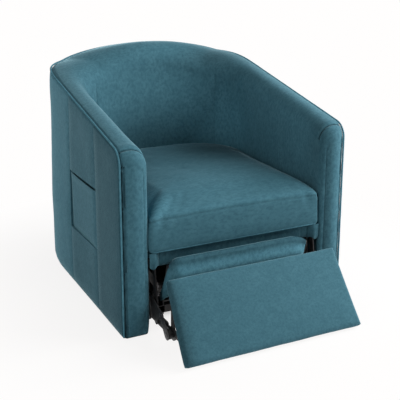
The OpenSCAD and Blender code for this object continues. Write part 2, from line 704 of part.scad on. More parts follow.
// Seat cushion: rings from the underside up, each drawn in by a share of the corner depth
cushion_front = 2;
cushion_corner = 26;
cushion_back_steps = 22;
cushion_side_steps = 3;
cushion_front_steps = 6;
cushion_half = inner_half_w - cushion_gap;
cushion_back = inner_back_y - cushion_gap;
cushion_mid = (cushion_front + cushion_back) / 2;
cushion_depth = cushion_back - cushion_front;
function cushion_side_xy(k) =
  [inner_x(inner_run) - cushion_gap, cushion_front + cushion_corner + (inner_run - cushion_corner) * k / cushion_side_steps];
cushion_outline = concat(
  [for (k = [0:cushion_back_steps]) let (t = 180 * k / cushion_back_steps)
    [0, inner_run] + super_xy(cushion_half, cushion_back - inner_run, inner_power, t)],
  [for (k = [cushion_side_steps - 1:-1:1]) cushion_side_xy(k)],
  [for (k = [0:3]) let (t = 30 * k) [cushion_half - cushion_corner * (1 - cos(t)),
    cushion_front + cushion_corner * (1 - sin(t))]],
  [for (k = [1:cushion_front_steps - 1])
    [(cushion_half - cushion_corner) * (1 - 2 * k / cushion_front_steps), cushion_front]],
  [for (k = [3:-1:0]) let (t = 30 * k) [-cushion_half + cushion_corner * (1 - cos(t)),
    cushion_front + cushion_corner * (1 - sin(t))]],
  [for (k = [1:cushion_side_steps - 1]) let (p = cushion_side_xy(k)) [-p[0], p[1]]]);
function cushion_ring(d, z) = [for (p = cushion_outline)
  [p[0] * (1 - d / cushion_half), cushion_mid + (p[1] - cushion_mid) * (1 - 2 * d / cushion_depth), z]];
side_in_share = [0.55, 0.2, 0.04, 0.1, 0.14, 0.08, 0.02, 0.16];
side_z_share = [0, 0.03, 0.1, 0.35, 0.6, 0.8, 0.93, 1];
top_in_share = [0.07, 0.2, 0.4, 0.62, 0.85];
top_z_share = [0.34, 0.66, 0.88, 0.98, 1];
module seat_cushion() color(fabric_color) chair() loft(concat(
  [for (k = [0:len(side_in_share) - 1])
    cushion_ring(side_in_share[k] * cushion_corner, seat_z + side_z_share[k] * cushion_side_h)],
  [for (k = [0:len(top_in_share) - 1])
    cushion_ring(top_in_share[k] * cushion_half,
      seat_z + cushion_side_h + top_z_share[k] * cushion_crown)]));

// Tub upholstery: wall sections between an outer and an inner point, over the top and down inside
edge_cut = 9;                             // chamfer that the piping lies in
wall_share = [0.22, 0.42, 0.62, 0.78, 0.9, 0.97, 1];
roll_share = [0.05, 0.07, 0, -0.14, -0.36, -0.64, -1];
function roll_at(y) = roll_front_h + (roll_h - roll_front_h) * min(1, y / roll_grow);
function wall_ring(o, i, top, cut) = let (u = (i - o) / norm(i - o)) concat(
  [[o[0], o[1], floor_gap], [o[0], o[1], (floor_gap + top) / 2], [o[0], o[1], top - cut]],
  [let (q = o + u * edge_cut) [q[0], q[1], top]],
  [for (k = [0:len(wall_share) - 1]) let (q = o + (i - o) * wall_share[k])
    [q[0], q[1], top + roll_share[k] * roll_at(o[1])]],
  [[i[0], i[1], floor_gap]]);
nose_angles = [0, 12, 25, 40, 55, 72, 90];
inner_nose_r = 18;
roll_grow = 150;                          // the roll has its full depth from here on
function nose_in(y, r) = y < r ? r * (1 - sqrt(1 - pow(1 - y / r, 2))) : 0;
function nose_y(a) = arm_nose_r * (1 - cos(a));
// Rise of the nose above its centre at depth y, for the curve that lies cut inside its surface
function nose_rise(y, cut) = sqrt(max(0, pow(arm_nose_r - cut, 2) - pow(arm_nose_r - y, 2)));
function nose_ring(a) = let (y = nose_y(a))
  wall_ring([-half_w + max(0, edge_cut - y), y], [-inner_half_w - nose_in(y, inner_nose_r), y],
    arm_line(y) - arm_nose_r * (1 - sin(a)), nose_rise(y, 0) - nose_rise(y, edge_cut));
function arm_ring(y) = wall_ring([-half_w, y], [-inner_x(y), y], arm_line(y), edge_cut);

back_steps = 24;
function tub_turn(k) = 90 * (1 - cos(180 * k / back_steps));
function tub_out(k) = outer_xy(tub_turn(k));
// Inner point in the same direction from the middle of the inner curve
function tub_in(k) = let (o = tub_out(k) - [0, inner_run], n = o / norm(o))
  [0, inner_run] + n / pow(pow(abs(n[0]) / inner_half_w, inner_power) + pow(abs(n[1]) / inner_turn, inner_power),
    1 / inner_power);
function tub_ring(k) = let (o = tub_out(k)) wall_ring(o, tub_in(k), top_z(o), edge_cut);

module arm_panel_2d(grow, foot) polygon([
  [arm_panel_y - grow, foot], [arm_panel_end + grow, foot],
  [arm_panel_end + grow, arm_line(arm_panel_end) - arm_panel_drop + grow],
  [arm_panel_y - grow, arm_line(arm_panel_y) - arm_panel_drop + grow]]);
module arm_body() difference() {
  loft(concat([for (a = nose_angles) nose_ring(a)],
    [for (y = [roll_grow, inner_run / 2, inner_run - arm_t / 2]) arm_ring(y)], [tub_ring(0)]));
  translate([-half_w + panel_in - seat_gap, 0, 0])
    plate_x(0, panel_t + 2 * seat_gap) arm_panel_2d(seat_gap, 0);
  for (y = block_ys) translate([-panel_x - over, y - seat_gap, block_z - seat_gap])
    cube([arm_t, block_l + 2 * seat_gap, block_h + 2 * seat_gap]);
}
module left_arm_upholstery() color(fabric_color) chair() difference() {
  arm_body();
  translate([-half_w - over, pocket_y, pocket_z])
    cube([pocket_depth + over, pocket_w, pocket_h + pocket_slot_h]);
}
module right_arm_upholstery() color(fabric_color) chair() mirror([1, 0, 0]) arm_body();

module arm_panel() plate_x(-half_w + panel_in, panel_t) difference() {
  arm_panel_2d(0, floor_gap + panel_foot);
  for (y = block_ys) disc_at([y + block_l / 2, block_z + block_h / 2], bolt_r + fit);
}
module left_arm_panel() color(wood_color) chair() arm_panel();
module right_arm_panel() color(wood_color) chair() mirror([1, 0, 0]) arm_panel();

back_panel_in = 40;
back_panel_h = 620;
back_panel_trim = 1;
module back_panel_2d(grow) polygon(concat(
  [for (k = [back_panel_trim:back_steps - back_panel_trim]) [0, arm_run]
    + super_xy(half_w - back_panel_in + grow, back_turn - back_panel_in + grow, outer_power, tub_turn(k))],
  [for (k = [back_steps - back_panel_trim:-1:back_panel_trim]) [0, arm_run]
    + super_xy(half_w - back_panel_in - panel_t - grow, back_turn - back_panel_in - panel_t - grow,
      outer_power, tub_turn(k))]));
module back_panel() color(wood_color) chair() translate([0, 0, floor_gap + panel_foot])
  linear_extrude(back_panel_h) back_panel_2d(0);
module back_upholstery() color(fabric_color) chair() difference() {
  loft([for (k = [0:back_steps]) tub_ring(k)]);
  linear_extrude(floor_gap + panel_foot + back_panel_h + seat_gap) back_panel_2d(seat_gap);
}

// Piping along the outer edge: up one arm front, round the top and down the other
piping_sides = 8;
piping_r = piping_d / 2;
// The cord's middle is this far in from both faces that meet at the edge
piping_in = edge_cut / 2 - (piping_r + seat_gap) / sqrt(2);
piping_lean = [1, 1, 2];                  // a direction that the piping never runs along
half_piping = concat(
  [[-half_w + piping_in, piping_in, floor_gap], [-half_w + piping_in, piping_in, arm_line(0) - arm_nose_r]],
  [for (a = [for (k = [1:len(nose_angles) - 1]) nose_angles[k]]) let (y = nose_y(a)) [-half_w + piping_in,
    y + piping_in * cos(a), arm_line(y) - arm_nose_r * (1 - sin(a)) - piping_in * sin(a)]],
  [for (k = [0:back_steps / 2]) let (o = tub_out(k), i = tub_in(k), u = (i - o) / norm(i - o))
    [o[0] + u[0] * piping_in, o[1] + u[1] * piping_in, top_z(o) - piping_in]]);
piping_path = concat(half_piping, [for (k = [len(half_piping) - 2:-1:0])
  [-half_piping[k][0], half_piping[k][1], half_piping[k][2]]]);
function unit(v) = v / norm(v);
function way(path, k) = unit(path[min(k + 1, len(path) - 1)] - path[max(k - 1, 0)]);
function piping_ring(k) = let (d = way(piping_path, k), s = unit(cross(piping_lean, d)), u = cross(d, s))
  [for (j = [0:piping_sides - 1]) let (t = 360 * j / piping_sides)
    piping_path[k] + piping_r * (s * cos(t) + u * sin(t))];
module piping() color(fabric_color) chair() loft([for (k = [0:len(piping_path) - 1]) piping_ring(k)]);

// Pocket and hand control
pocket_cloth = 2.5;
module pocket_panel() color(fabric_color) chair()
  translate([-half_w, pocket_y + seat_gap, pocket_z + seat_gap])
    cube([pocket_cloth, pocket_w - 2 * seat_gap, pocket_h - seat_gap]);

handset_size = [15, 48, 150];
handset_in = 24;                          // from the pocket's front seam
handset_y = pocket_y + handset_in;
handset_x = -half_w + pocket_depth - seat_gap - handset_size[0];
handset_r = 6;
button_size = [10, 24, 22];
button_out = 1.5;
button_gap = 0.4;
button_up_z = 108;
button_down_z = 76;
module button_shape(z, grow, deep) translate([handset_x - button_out * (grow > 0 ? 2 : 1),
    handset_y + (handset_size[1] - button_size[1]) / 2 - grow, pocket_z + seat_gap + z - grow])
  cube([deep, button_size[1] + 2 * grow, button_size[2] + 2 * grow]);
module handset_case() color(plastic_color) chair() difference() {
  translate([handset_x, handset_y, pocket_z + seat_gap]) rotate([90, 0, 90]) linear_extrude(handset_size[0])
    union() {
      translate([handset_r, 0]) square([handset_size[1] - 2 * handset_r, handset_size[2]]);
      translate([0, handset_r]) square([handset_size[1], handset_size[2] - 2 * handset_r]);
      for (y = [handset_r, handset_size[1] - handset_r], z = [handset_r, handset_size[2] - handset_r])
        translate([y, z]) circle(handset_r);
    }
  for (z = [button_up_z, button_down_z]) button_shape(z, button_gap, button_size[0]);
}
button_deep = 6;
module handset_up_button() color(button_color) chair() button_shape(button_up_z, 0, button_deep);
module handset_down_button() color(button_color) chair() button_shape(button_down_z, 0, button_deep);

base_side_rails();
base_cross_tubes();
floor_glides();
lift_pivot_plates();
lift_pivot_pins();
control_box();
power_inlet();
lift_motor_bracket();
main_lift_arms();
guide_lift_arms();
lift_motor();
lift_rod();
seat_frame();
lift_lugs();
lift_lug_pins();
arm_spacer_blocks();
tub_bolts();
linkage_plates();
linkage_plate_rivets();
seat_webbing();
seat_rail_pad();
seat_cushion();
left_arm_upholstery();
right_arm_upholstery();
back_upholstery();
left_arm_panel();
right_arm_panel();
back_panel();
piping();
pocket_panel();
handset_case();
handset_up_button();
handset_down_button();
footrest_motor();
torque_tube();
drive_link_left();
drive_link_right();
guide_link_left();
guide_link_right();
carrier_bar_left();
carrier_bar_right();
carrier_rivets_left();
carrier_rivets_right();
control_link_left();
control_link_right();
footrest_pad();
footrest_board();
footrest_bracket_left();
footrest_bracket_right();
footrest_rivets();
footrest_spacers();
flap_pad();
flap_brackets();
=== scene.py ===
"""Looks of a barrel lift recliner: tub upholstery, piping, cushion, footrest pads, metal finishes and a studio."""
import json
import math

import bpy
import numpy as np
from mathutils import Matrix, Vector, kdtree, noise
from mathutils.bvhtree import BVHTree


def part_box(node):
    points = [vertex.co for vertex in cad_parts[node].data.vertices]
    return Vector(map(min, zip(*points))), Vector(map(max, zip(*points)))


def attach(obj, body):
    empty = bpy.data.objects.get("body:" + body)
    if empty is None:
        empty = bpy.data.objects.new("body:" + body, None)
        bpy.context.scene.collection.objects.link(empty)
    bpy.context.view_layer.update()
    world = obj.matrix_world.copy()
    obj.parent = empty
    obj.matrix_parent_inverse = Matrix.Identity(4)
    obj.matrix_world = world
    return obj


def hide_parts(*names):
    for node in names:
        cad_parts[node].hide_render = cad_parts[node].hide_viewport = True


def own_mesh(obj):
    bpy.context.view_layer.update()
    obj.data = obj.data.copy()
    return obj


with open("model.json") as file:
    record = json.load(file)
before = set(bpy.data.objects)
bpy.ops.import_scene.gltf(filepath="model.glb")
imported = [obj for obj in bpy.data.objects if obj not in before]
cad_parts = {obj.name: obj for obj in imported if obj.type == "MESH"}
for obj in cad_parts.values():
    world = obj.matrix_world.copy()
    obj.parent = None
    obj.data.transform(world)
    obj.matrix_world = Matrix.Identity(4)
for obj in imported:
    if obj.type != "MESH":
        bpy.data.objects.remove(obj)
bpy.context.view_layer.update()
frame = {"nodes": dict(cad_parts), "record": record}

bl_info = {
    "name": "Barrel Lift Recliner",
    "version": (1, 0, 0),
    "blender": (4, 5, 0),
    "location": "View3D > Sidebar > Recliner",
    "description": "Dresses the packed frame of a barrel lift recliner",
    "category": "Object",
}

# Places that every piece is measured from, in metres
LEFT_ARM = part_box("left_arm_upholstery")
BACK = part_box("back_upholstery")
FRONT_Y = LEFT_ARM[0].y
HALF_WIDTH = -LEFT_ARM[0].x
DEPTH = BACK[1].y - FRONT_Y
HEM_DROP = 0.015
HEM_Z = LEFT_ARM[0].z - HEM_DROP
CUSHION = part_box("seat_cushion")

# How square the turns are, seen from above: 2 is round, more is squarer
OUTER_POWER = 4.0
INNER_POWER = 2.2
CUSHION_POWER = 2.08

# Distance from a seam that is given to points which the seam doesn't reach
NOT_NEAR = 1.0

# Height of a rivet's head
RIVET_HEIGHT = 0.0022

# The photo's camera, found from the chair's straight edges: angles in degrees, lens and sensor in millimetres
CAMERA_PLACE = (-1.1814, -2.3972, 1.2022)
CAMERA_PITCH, CAMERA_TURN = 74.93, -26.23
CAMERA_LENS, CAMERA_SENSOR, CAMERA_SHIFT = 74.42, 36, -0.125

# Lamps, all aimed at the seat: name, place, size in metres and power in watts
LAMPS = (
    ("key_lamp", (2.2, -1.4, 2.2), 1.5, 70),
    ("side_lamp", (2.8, -0.5, 1.9), 1.2, 80),
    ("fill_lamp", (-2.6, -1.6, 1.7), 1.5, 29),
    ("back_lamp", (-1.2, 2.6, 2.4), 1.5, 20),
)
LAMP_TARGET = (0, 0, 0.35)

# Patches of painted light and shade, darker or lighter than the rest: where, amount, centre and size
TUB_PAINTED_SHADING = (
    ("inner", 0.50, (0.24, 0.32, 0.46), (0.15, 0.16, 0.13)),
    ("inner", -0.25, (-0.08, 0.41, 0.42), (0.13, 0.10, 0.10)),
    ("roll", -0.55, (0.24, 0.35, 0.73), (0.12, 0.15, 0.05)),
    ("faces", -0.30, (0.306, FRONT_Y + 0.02, 0.50), (0.03, 0.07, 0.20)),
    ("fronts", 0.30, (-0.306, FRONT_Y, 0.13), (0.030, 0.05, 0.09)),
)
CUSHION_PAINTED_SHADING = (
    ("top", -0.42, (0.16, FRONT_Y + 0.46, 0.41), (0.16, 0.15, 0.2)),
    ("top", -0.25, (-0.27, FRONT_Y + 0.40, 0.41), (0.08, 0.16, 0.2)),
    ("all", 0.30, (-0.265, FRONT_Y + 0.06, 0.385), (0.05, 0.08, 0.05)),
)

# Lines of painted shade in and beside the tub's seams, and painted highlight just off the crossing seam: which
# seam, amount, distance from it and half width
TUB_SEAM_SHADING = (
    ("crossing", -0.50, 0.0, 0.0022),
    ("crossing", 0.10, 0.0065, 0.0030),
    ("sides", -0.16, 0.0, 0.0018),
    ("inside", -0.12, 0.0, 0.0020),
    ("edge", -0.40, 0.0052, 0.0018),
)

# Slow waves in each cover's loose cloth: height, size and seed
SLACK = {
    "tub": ((0.0014, 0.19, 2.0), (0.0006, 0.06, 5.0)),
    "pocket": ((0.0012, 0.09, 7.0),),
    "cushion": ((0.0018, 0.11, 3.0), (0.0007, 0.035, 9.0)),
    "rail": ((0.0009, 0.05, 1.0),),
    "footrest": ((0.0012, 0.12, 4.0), (0.0005, 0.03, 8.0)),
    "flap": ((0.0016, 0.08, 6.0), (0.0007, 0.025, 2.0)),
}


def length(name, description, default):
    return bpy.props.FloatProperty(name=name, description=description, default=default,
                                   unit="LENGTH", subtype="DISTANCE")


def share(name, description, default):
    return bpy.props.FloatProperty(name=name, description=description, default=default, subtype="FACTOR")


def tint(name, description, default):
    return bpy.props.FloatVectorProperty(name=name, description=description, default=default,
                                         size=3, min=0, max=1, subtype="COLOR")


class TubSizes(bpy.types.PropertyGroup):
    """Sizes of the upholstered tub and its piping"""
    arm_thickness: length("Arm thickness", "Width of an arm's front", 0.085)
    back_thickness: length("Back thickness", "Thickness of the back at its middle", 0.118)
    turn_depth: length("Turn depth", "Depth of the part where the arms turn into the back", 0.240)
    inner_lead: length("Inner lead", "How much earlier the inner face starts to turn", 0.060)
    arm_height: length("Arm height", "Height of the piping over the arm fronts", 0.585)
    arm_rise: length("Arm rise", "Rise of the arm line from front to back", 0.158)
    crown: length("Crown", "Extra height of the back at its middle", 0.038)
    crown_reach: share("Crown reach", "Half width of the crown as a share of the tub's", 0.82)
    front_crown: length("Front crown", "How far an arm's front bulges between its edges", 0.0075)
    nose_radius: length("Nose radius", "Radius of an arm's front top corner", 0.042)
    corner_radius: length("Corner radius", "Radius of an arm front's inner upright edge", 0.014)
    roll_height: length("Roll height", "Depth of the padded roll on the inner top edge", 0.062)
    roll_front: length("Roll at the front", "Depth of that roll at the arm front", 0.034)
    roll_grow: length("Roll's growth", "Depth into the chair at which the roll has its full size", 0.150)
    fullness: length("Fullness", "How far the cloth stands out low on the back corners", 0.009)
    edge_cut: length("Edge cut", "Width of the channel that the piping lies in", 0.009)
    piping: length("Piping", "Diameter of the piping", 0.0058)
    seam_depth: length("Seam depth", "How far a seam draws the padding in", 0.0022)
    seam_width: length("Seam width", "Half width of a seam's groove", 0.0024)
    channel_side: length("Channel side", "Distance of the piping's stitched channel from the piping", 0.0062)
    channel_depth: length("Channel depth", "How far the piping's stitching draws the cloth in", 0.0018)
    channel_width: length("Channel width", "Half width of that channel", 0.0022)
    padding: length("Padding", "Swell of the padding between seams", 0.0035)
    hem_turn: length("Hem turn", "Inset of the cloth under the bottom edge", 0.003)
    # It also scales the painted light on the side panels, which grows towards the back
    panel_nap_and_shading: share("Panel tone", "Difference in tone between the side panels, whose nap lies differently", 0.19)
    panel_seam: length("Panel seam", "Distance of the inner back seams from the middle", 0.237)


class PocketSizes(bpy.types.PropertyGroup):
    """Sizes of the side pocket"""
    front: length("Front", "Distance of the pocket's front seam from the arm front", 0.214)
    width: length("Width", "Width of the pocket", 0.246)
    bottom: length("Bottom", "Height of the pocket's lower seam", 0.215)
    height: length("Height", "Height of the pocket's cloth", 0.194)
    mouth: length("Mouth", "Height of the open slot", 0.008)
    depth: length("Depth", "Depth of the pocket inside the arm", 0.024)
    cloth: length("Cloth", "Thickness of the pocket's doubled cloth", 0.0025)
    gape: length("Gape", "How far the pocket's upper edge stands off and sags", 0.0012)
    hem: length("Hem", "Extra thickness of the pocket's hem", 0.0008)
    hem_height: length("Hem height", "Height of the pocket's hem", 0.018)


class SeatSizes(bpy.types.PropertyGroup):
    """Sizes of the seat cushion, the rail under it and the footrest pads"""
    cushion_gap: length("Cushion gap", "Gap between the cushion and the tub", 0.003)
    cushion_side: length("Cushion side", "Height of the cushion's top seam over its underside", 0.118)
    front_slack: length("Front slack", "How far the cushion's front swells freely past the arm fronts", 0.003)
    front_seam: length("Front seam", "Height of the cushion's front seam at its left end", 0.098)
    seam_climb: length("Seam climb", "How much higher that seam runs at the middle", 0.007)
    seam_draw: length("Seam draw", "How far that seam draws the cushion in", 0.0020)
    seam_half: length("Seam half", "Half width of that seam's groove", 0.0030)
    side_draw: length("Side draw", "Scale of the cushion's drawn-in sides", 0.016)
    left_lean: length("Left lean", "How far the front bulges to the left, under the arm's edge", 0.006)
    cushion_corner: length("Cushion corner", "Radius of the cushion's front corners in plan", 0.016)
    cushion_lip: length("Cushion lip", "How far the cushion's front stands before the arms", 0.008)
    welt: length("Welt", "Diameter of the welt on the cushion's lower edge", 0.006)
    wing_rise: length("Wing rise", "How far the end wings' lower edge lies over the rail's", 0.0285)
    corner_drop: length("Corner drop", "How far the cushion's front corners sink", 0.014)
    back_rise: length("Back rise", "How far the cushion rises against the back", 0.008)
    flap_wing: length("Flap wing", "How far loose cloth hangs out at the inner pad's left end", 0.019)
    swell_reach: length("Swell reach", "Farthest that a point of the cushion swells", 0.013)
    panel_length: length("Panel length", "Height of the footrest panel along its slope", 0.256)
    panel_thickness: length("Panel thickness", "Thickness of the footrest panel", 0.038)
    panel_taper: length("Panel taper", "How much wider the panel's lower edge is than its upper one", 0.011)
    panel_corner: length("Panel corner", "Radius of the panel's corners, seen from the front", 0.012)
    panel_crown: length("Panel crown", "Crown of the footrest panel's face", 0.010)
    panel_round: length("Panel edge", "Radius of the panel's front edges", 0.015)
    panel_fold: length("Panel fold", "How far the panel's sides draw in towards its back", 0.0140)
    board_margin: length("Board margin", "Distance of the panel's board from its edges", 0.016)
    panel_tilt: bpy.props.FloatProperty(name="Panel tilt", description="Angle of the footrest panel from upright",
                                        default=math.radians(37), unit="ROTATION", subtype="ANGLE")
    rail_gap: length("Rail gap", "Gap between the rail's ends and the arms", 0.0042)
    rail_sag: length("Rail sag", "How far the rail's lower edge sags at its left end", 0.003)
    rail_round: length("Rail rounding", "How far the rail's front edges are rounded back", 0.006)
    wing_inset: length("Wing inset", "How far the end wings lie behind the rail's front", 0.0035)
    drape_cloth: length("Drape cloth", "Thickness of the doubled cloth at the rail's ends", 0.0032)
    gusset_place: length("Gusset place", "Distance of the carriers' outer plates from the middle", 0.2903)
    gusset_thickness: length("Gusset thickness", "Thickness of each of the carriers' outer plates", 0.0021)
    flap_bulge: length("Flap bulge", "Extra fullness of the inner pad's front near its top", 0.021)
    flap_end_left: length("Flap end left", "Length over which the inner pad's left end is rounded", 0.022)
    flap_end_right: length("Flap end right", "Length over which the inner pad's right end is rounded", 0.050)
    flap_clearance: length("Flap clearance", "How far the inner pad's top lies below its solid's", 0.0045)
    flap_top: length("Flap top", "Radius of the inner pad's top edge", 0.013)
    flap_low: length("Flap low", "Radius of the inner pad's lower edge", 0.022)


class ChairColors(bpy.types.PropertyGroup):
    """Colours of the finishes"""
    cloth: tint("Cloth", "Main colour of the microfibre", (0.056, 0.156, 0.200))
    nap: tint("Nap", "Colour where the nap lies towards the light", (0.078, 0.200, 0.250))
    shade: tint("Shade", "Colour where the nap lies away from the light", (0.036, 0.108, 0.144))
    sheen: tint("Sheen", "Colour of the light on the cloth's fibre ends", (0.50, 0.80, 0.90))
    steel: tint("Steel", "Paint on the steel", (0.011, 0.011, 0.012))
    wood: tint("Wood", "Plywood", (0.42, 0.27, 0.14))
    floor: tint("Floor", "Studio floor", (0.86, 0.86, 0.86))


def settings():
    scene = bpy.context.scene
    return scene.tub_sizes, scene.pocket_sizes, scene.seat_sizes, scene.chair_colors


# Modelling helpers

def only(piece):
    """Selects one object and makes it the active one"""
    bpy.ops.object.select_all(action="DESELECT")
    piece.select_set(True)
    bpy.context.view_layer.objects.active = piece


def edit(piece, *steps):
    """Runs mesh operators on all of one object's mesh"""
    only(piece)
    bpy.ops.object.mode_set(mode="EDIT")
    bpy.ops.mesh.select_all(action="SELECT")
    for step, options in steps:
        step(**options)
    bpy.ops.object.mode_set(mode="OBJECT")


def apply_modifiers(piece):
    only(piece)
    for modifier in list(piece.modifiers):
        bpy.ops.object.modifier_apply(modifier=modifier.name)


def block(name, across, deep, high):
    """Closed unit block of even quads, with its place among the cuts of each point"""
    bpy.ops.object.select_all(action="DESELECT")
    bpy.ops.mesh.primitive_grid_add(x_subdivisions=across, y_subdivisions=deep, size=1, location=(0.5, 0.5, 0))
    piece = bpy.context.object
    piece.name = piece.data.name = name
    bpy.ops.object.mode_set(mode="EDIT")
    quarter = math.pi / 2
    bpy.ops.mesh.primitive_grid_add(x_subdivisions=across, y_subdivisions=deep, size=1, location=(0.5, 0.5, 1))
    for end in (0, 1):
        bpy.ops.mesh.primitive_grid_add(x_subdivisions=high, y_subdivisions=deep, size=1,
                                        location=(end, 0.5, 0.5), rotation=(0, quarter, 0))
        bpy.ops.mesh.primitive_grid_add(x_subdivisions=across, y_subdivisions=high, size=1,
                                        location=(0.5, end, 0.5), rotation=(quarter, 0, 0))
    bpy.ops.mesh.select_all(action="SELECT")
    bpy.ops.mesh.remove_doubles(threshold=1e-5)
    bpy.ops.object.mode_set(mode="OBJECT")
    bpy.ops.object.transform_apply(location=True, rotation=True, scale=True)
    cuts = np.rint(points_of(piece) * (across, deep, high)).astype(int)
    return piece, cuts[:, 0], cuts[:, 1], cuts[:, 2]


def points_of(piece):
    flat = np.empty(3 * len(piece.data.vertices))
    piece.data.vertices.foreach_get("co", flat)
    return flat.reshape(-1, 3)


def place_points(piece, points):
    piece.data.vertices.foreach_set("co", np.asarray(points, dtype=np.float32).ravel())
    piece.data.update()


def normals_of(piece):
    flat = np.empty(3 * len(piece.data.vertices), dtype=np.float32)
    piece.data.vertices.foreach_get("normal", flat)
    return flat.reshape(-1, 3).astype(float)


def push(piece, amounts):
    """Moves each point along its normal"""
    place_points(piece, points_of(piece) + normals_of(piece) * np.asarray(amounts)[:, None])


def face_out(piece):
    edit(piece, (bpy.ops.mesh.normals_make_consistent, {"inside": False}))


def paint_shading(piece, amounts):
    """Paints light and shade into the colour at each point, and on the tub also the side panels' nap tone: darker
    below 0, lighter above
    """
    layer = piece.data.attributes.get("painted_shading_and_nap") or piece.data.attributes.new("painted_shading_and_nap", "FLOAT", "POINT")
    layer.data.foreach_set("value", np.asarray(amounts, dtype=np.float32))


def ripple(points, size, seed=0.0):
    """Smooth noise between -1 and 1 with features of the given size"""
    shift = Vector((seed, -seed, 0.5 * seed))
    return np.array([noise.noise(Vector(p) / size + shift) for p in points])


def slack_of(cover, points):
    return sum(height * ripple(points, size, seed) for height, size, seed in SLACK[cover])


def wrinkles(points, seed):
    """Noise at places that are already stretched by the caller"""
    return np.array([noise.noise(Vector((*p, seed))) for p in points])


def bell(distance, width):
    """1 at no distance, falling to 0 beyond the width"""
    return np.exp(-(distance / width) ** 2)


def groove(distance, depth, width):
    return -depth * bell(distance, width)


def ramp(value, start, span):
    """0 up to the start, 1 past the span"""
    return np.clip((value - start) / span, 0, 1)


def fade(value, end, span):
    """1 while the value is a span below the end, 0 past the end"""
    return np.clip((end - value) / span, 0, 1)


def patched(points, patches, masks):
    """Sum of the patches of painted light and shade, each kept to its own part of the piece"""
    total = np.zeros(len(points))
    for where, amount, centre, size in patches:
        cloud = np.exp(-(((points - centre) / size) ** 2).sum(axis=1))
        total += amount * cloud * masks[where]
    return total


def subdivided(piece):
    fine = piece.modifiers.new("Fine", "SUBSURF")
    fine.levels = fine.render_levels = 1
    apply_modifiers(piece)
    return points_of(piece)


def near(points, targets):
    """Distance from each point to the nearest target, and that target's number"""
    tree = kdtree.KDTree(len(targets))
    for number, target in enumerate(targets):
        tree.insert(target, number)
    tree.balance()
    found = [tree.find(p)[1:] for p in points]
    return np.array([f[1] for f in found]), np.array([f[0] for f in found])


def spaced(start, end, step, seams=(), offsets=(0.0, 0.0012, 0.0026, 0.0055)):
    """Even positions from start to end, with close ones beside each seam"""
    close = sorted({round(s + sign * o, 6) for s in seams for o in offsets for sign in (-1, 1)})
    count = max(2, round((end - start) / step) + 1)
    even = [v for v in np.linspace(start, end, count) if all(abs(v - c) > 0.3 * step for c in close)
            or v in (start, end)]
    return np.array(sorted(even + [c for c in close if start < c < end]))


def tube(name, path, radius, sides=10, closed=False):
    """Round cord along a path"""
    data = bpy.data.curves.new(name, "CURVE")
    data.dimensions = "3D"
    data.bevel_depth = radius
    data.bevel_resolution = max(0, sides // 2 - 2)
    data.use_fill_caps = True
    spline = data.splines.new("POLY")
    spline.points.add(len(path) - 1)
    spline.points.foreach_set("co", np.column_stack([path, np.ones(len(path))]).ravel())
    spline.use_cyclic_u = closed
    piece = bpy.data.objects.new(name, data)
    bpy.context.collection.objects.link(piece)
    only(piece)
    bpy.ops.object.convert(target="MESH")
    piece = bpy.context.object
    piece.name = piece.data.name = name
    edit(piece, (bpy.ops.mesh.remove_doubles, {"threshold": 1e-5}),
         (bpy.ops.mesh.normals_make_consistent, {"inside": False}))
    return piece


def finish(piece, body, slot, *materials, smooth=50, replaces=(), fill=None):
    """Smooths a piece, gives it its materials and says what it rides on and stands for"""
    only(piece)
    bpy.ops.object.shade_smooth_by_angle(angle=math.radians(smooth))
    piece.data.materials.clear()
    for material in materials:
        piece.data.materials.append(material)
    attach(piece, body)
    if replaces:
        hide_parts(*replaces)
    return piece


def swell(piece, voxel, pressure, reach, hold, frames=20, evening=2):
    """Blows a stuffed cover up as cloth. hold gives, for each point, the share of its weight that is pinned."""
    only(piece)
    skin = piece.modifiers.new("Skin", "REMESH")
    skin.mode = "VOXEL"
    skin.voxel_size = voxel
    skin.use_smooth_shade = True
    bpy.ops.object.modifier_apply(modifier=skin.name)
    start = points_of(piece)
    pins = piece.vertex_groups.new(name="pins")
    weights = np.clip(hold(start), 0, 1)
    for number in np.flatnonzero(weights > 0):
        pins.add([int(number)], float(weights[number]), "REPLACE")
    cover = piece.modifiers.new("Cover", "CLOTH")
    cloth = cover.settings
    cloth.quality = 5
    cloth.mass = 0.3
    cloth.tension_stiffness = cloth.compression_stiffness = 15
    cloth.shear_stiffness = 5
    cloth.bending_stiffness = 0.5
    cloth.use_pressure = True
    cloth.uniform_pressure_force = pressure
    cloth.effector_weights.gravity = 0
    cloth.vertex_group_mass = "pins"
    for number in range(1, frames + 1):
        bpy.context.scene.frame_set(number)
    bpy.ops.object.modifier_apply(modifier=cover.name)
    bpy.context.scene.frame_set(1)
    moved = points_of(piece) - start
    far = np.linalg.norm(moved, axis=1)
    place_points(piece, start + moved * np.minimum(1, reach / np.maximum(far, 1e-9))[:, None])
    piece.vertex_groups.clear()
    smooth = piece.modifiers.new("Even", "SMOOTH")
    smooth.factor = 0.5
    smooth.iterations = evening
    bpy.ops.object.modifier_apply(modifier=smooth.name)
    return points_of(piece)


# Material helpers

def add_node(tree, kind, inputs=None, **options):
    node = tree.nodes.new(kind)
    for name, value in options.items():
        setattr(node, name, value)
    for name, value in (inputs or {}).items():
        if isinstance(value, bpy.types.NodeSocket):
            tree.links.new(value, node.inputs[name])
        else:
            node.inputs[name].default_value = value
    return node


def math_node(tree, operation, *values, clamp=False):
    return add_node(tree, "ShaderNodeMath", dict(enumerate(values)), operation=operation,
                    use_clamp=clamp).outputs[0]


def mix_color(tree, factor, a, b, blend="MIX"):
    node = add_node(tree, "ShaderNodeMix", data_type="RGBA", blend_type=blend)
    for number, value in ((0, factor), (6, a), (7, b)):
        if isinstance(value, bpy.types.NodeSocket):
            tree.links.new(value, node.inputs[number])
        else:
            node.inputs[number].default_value = value
    return node.outputs[2]


def fit_range(tree, value, low, high, out_low=0.0, out_high=1.0):
    return add_node(tree, "ShaderNodeMapRange", {"Value": value, "From Min": low, "From Max": high,
                                                 "To Min": out_low, "To Max": out_high}).outputs["Result"]


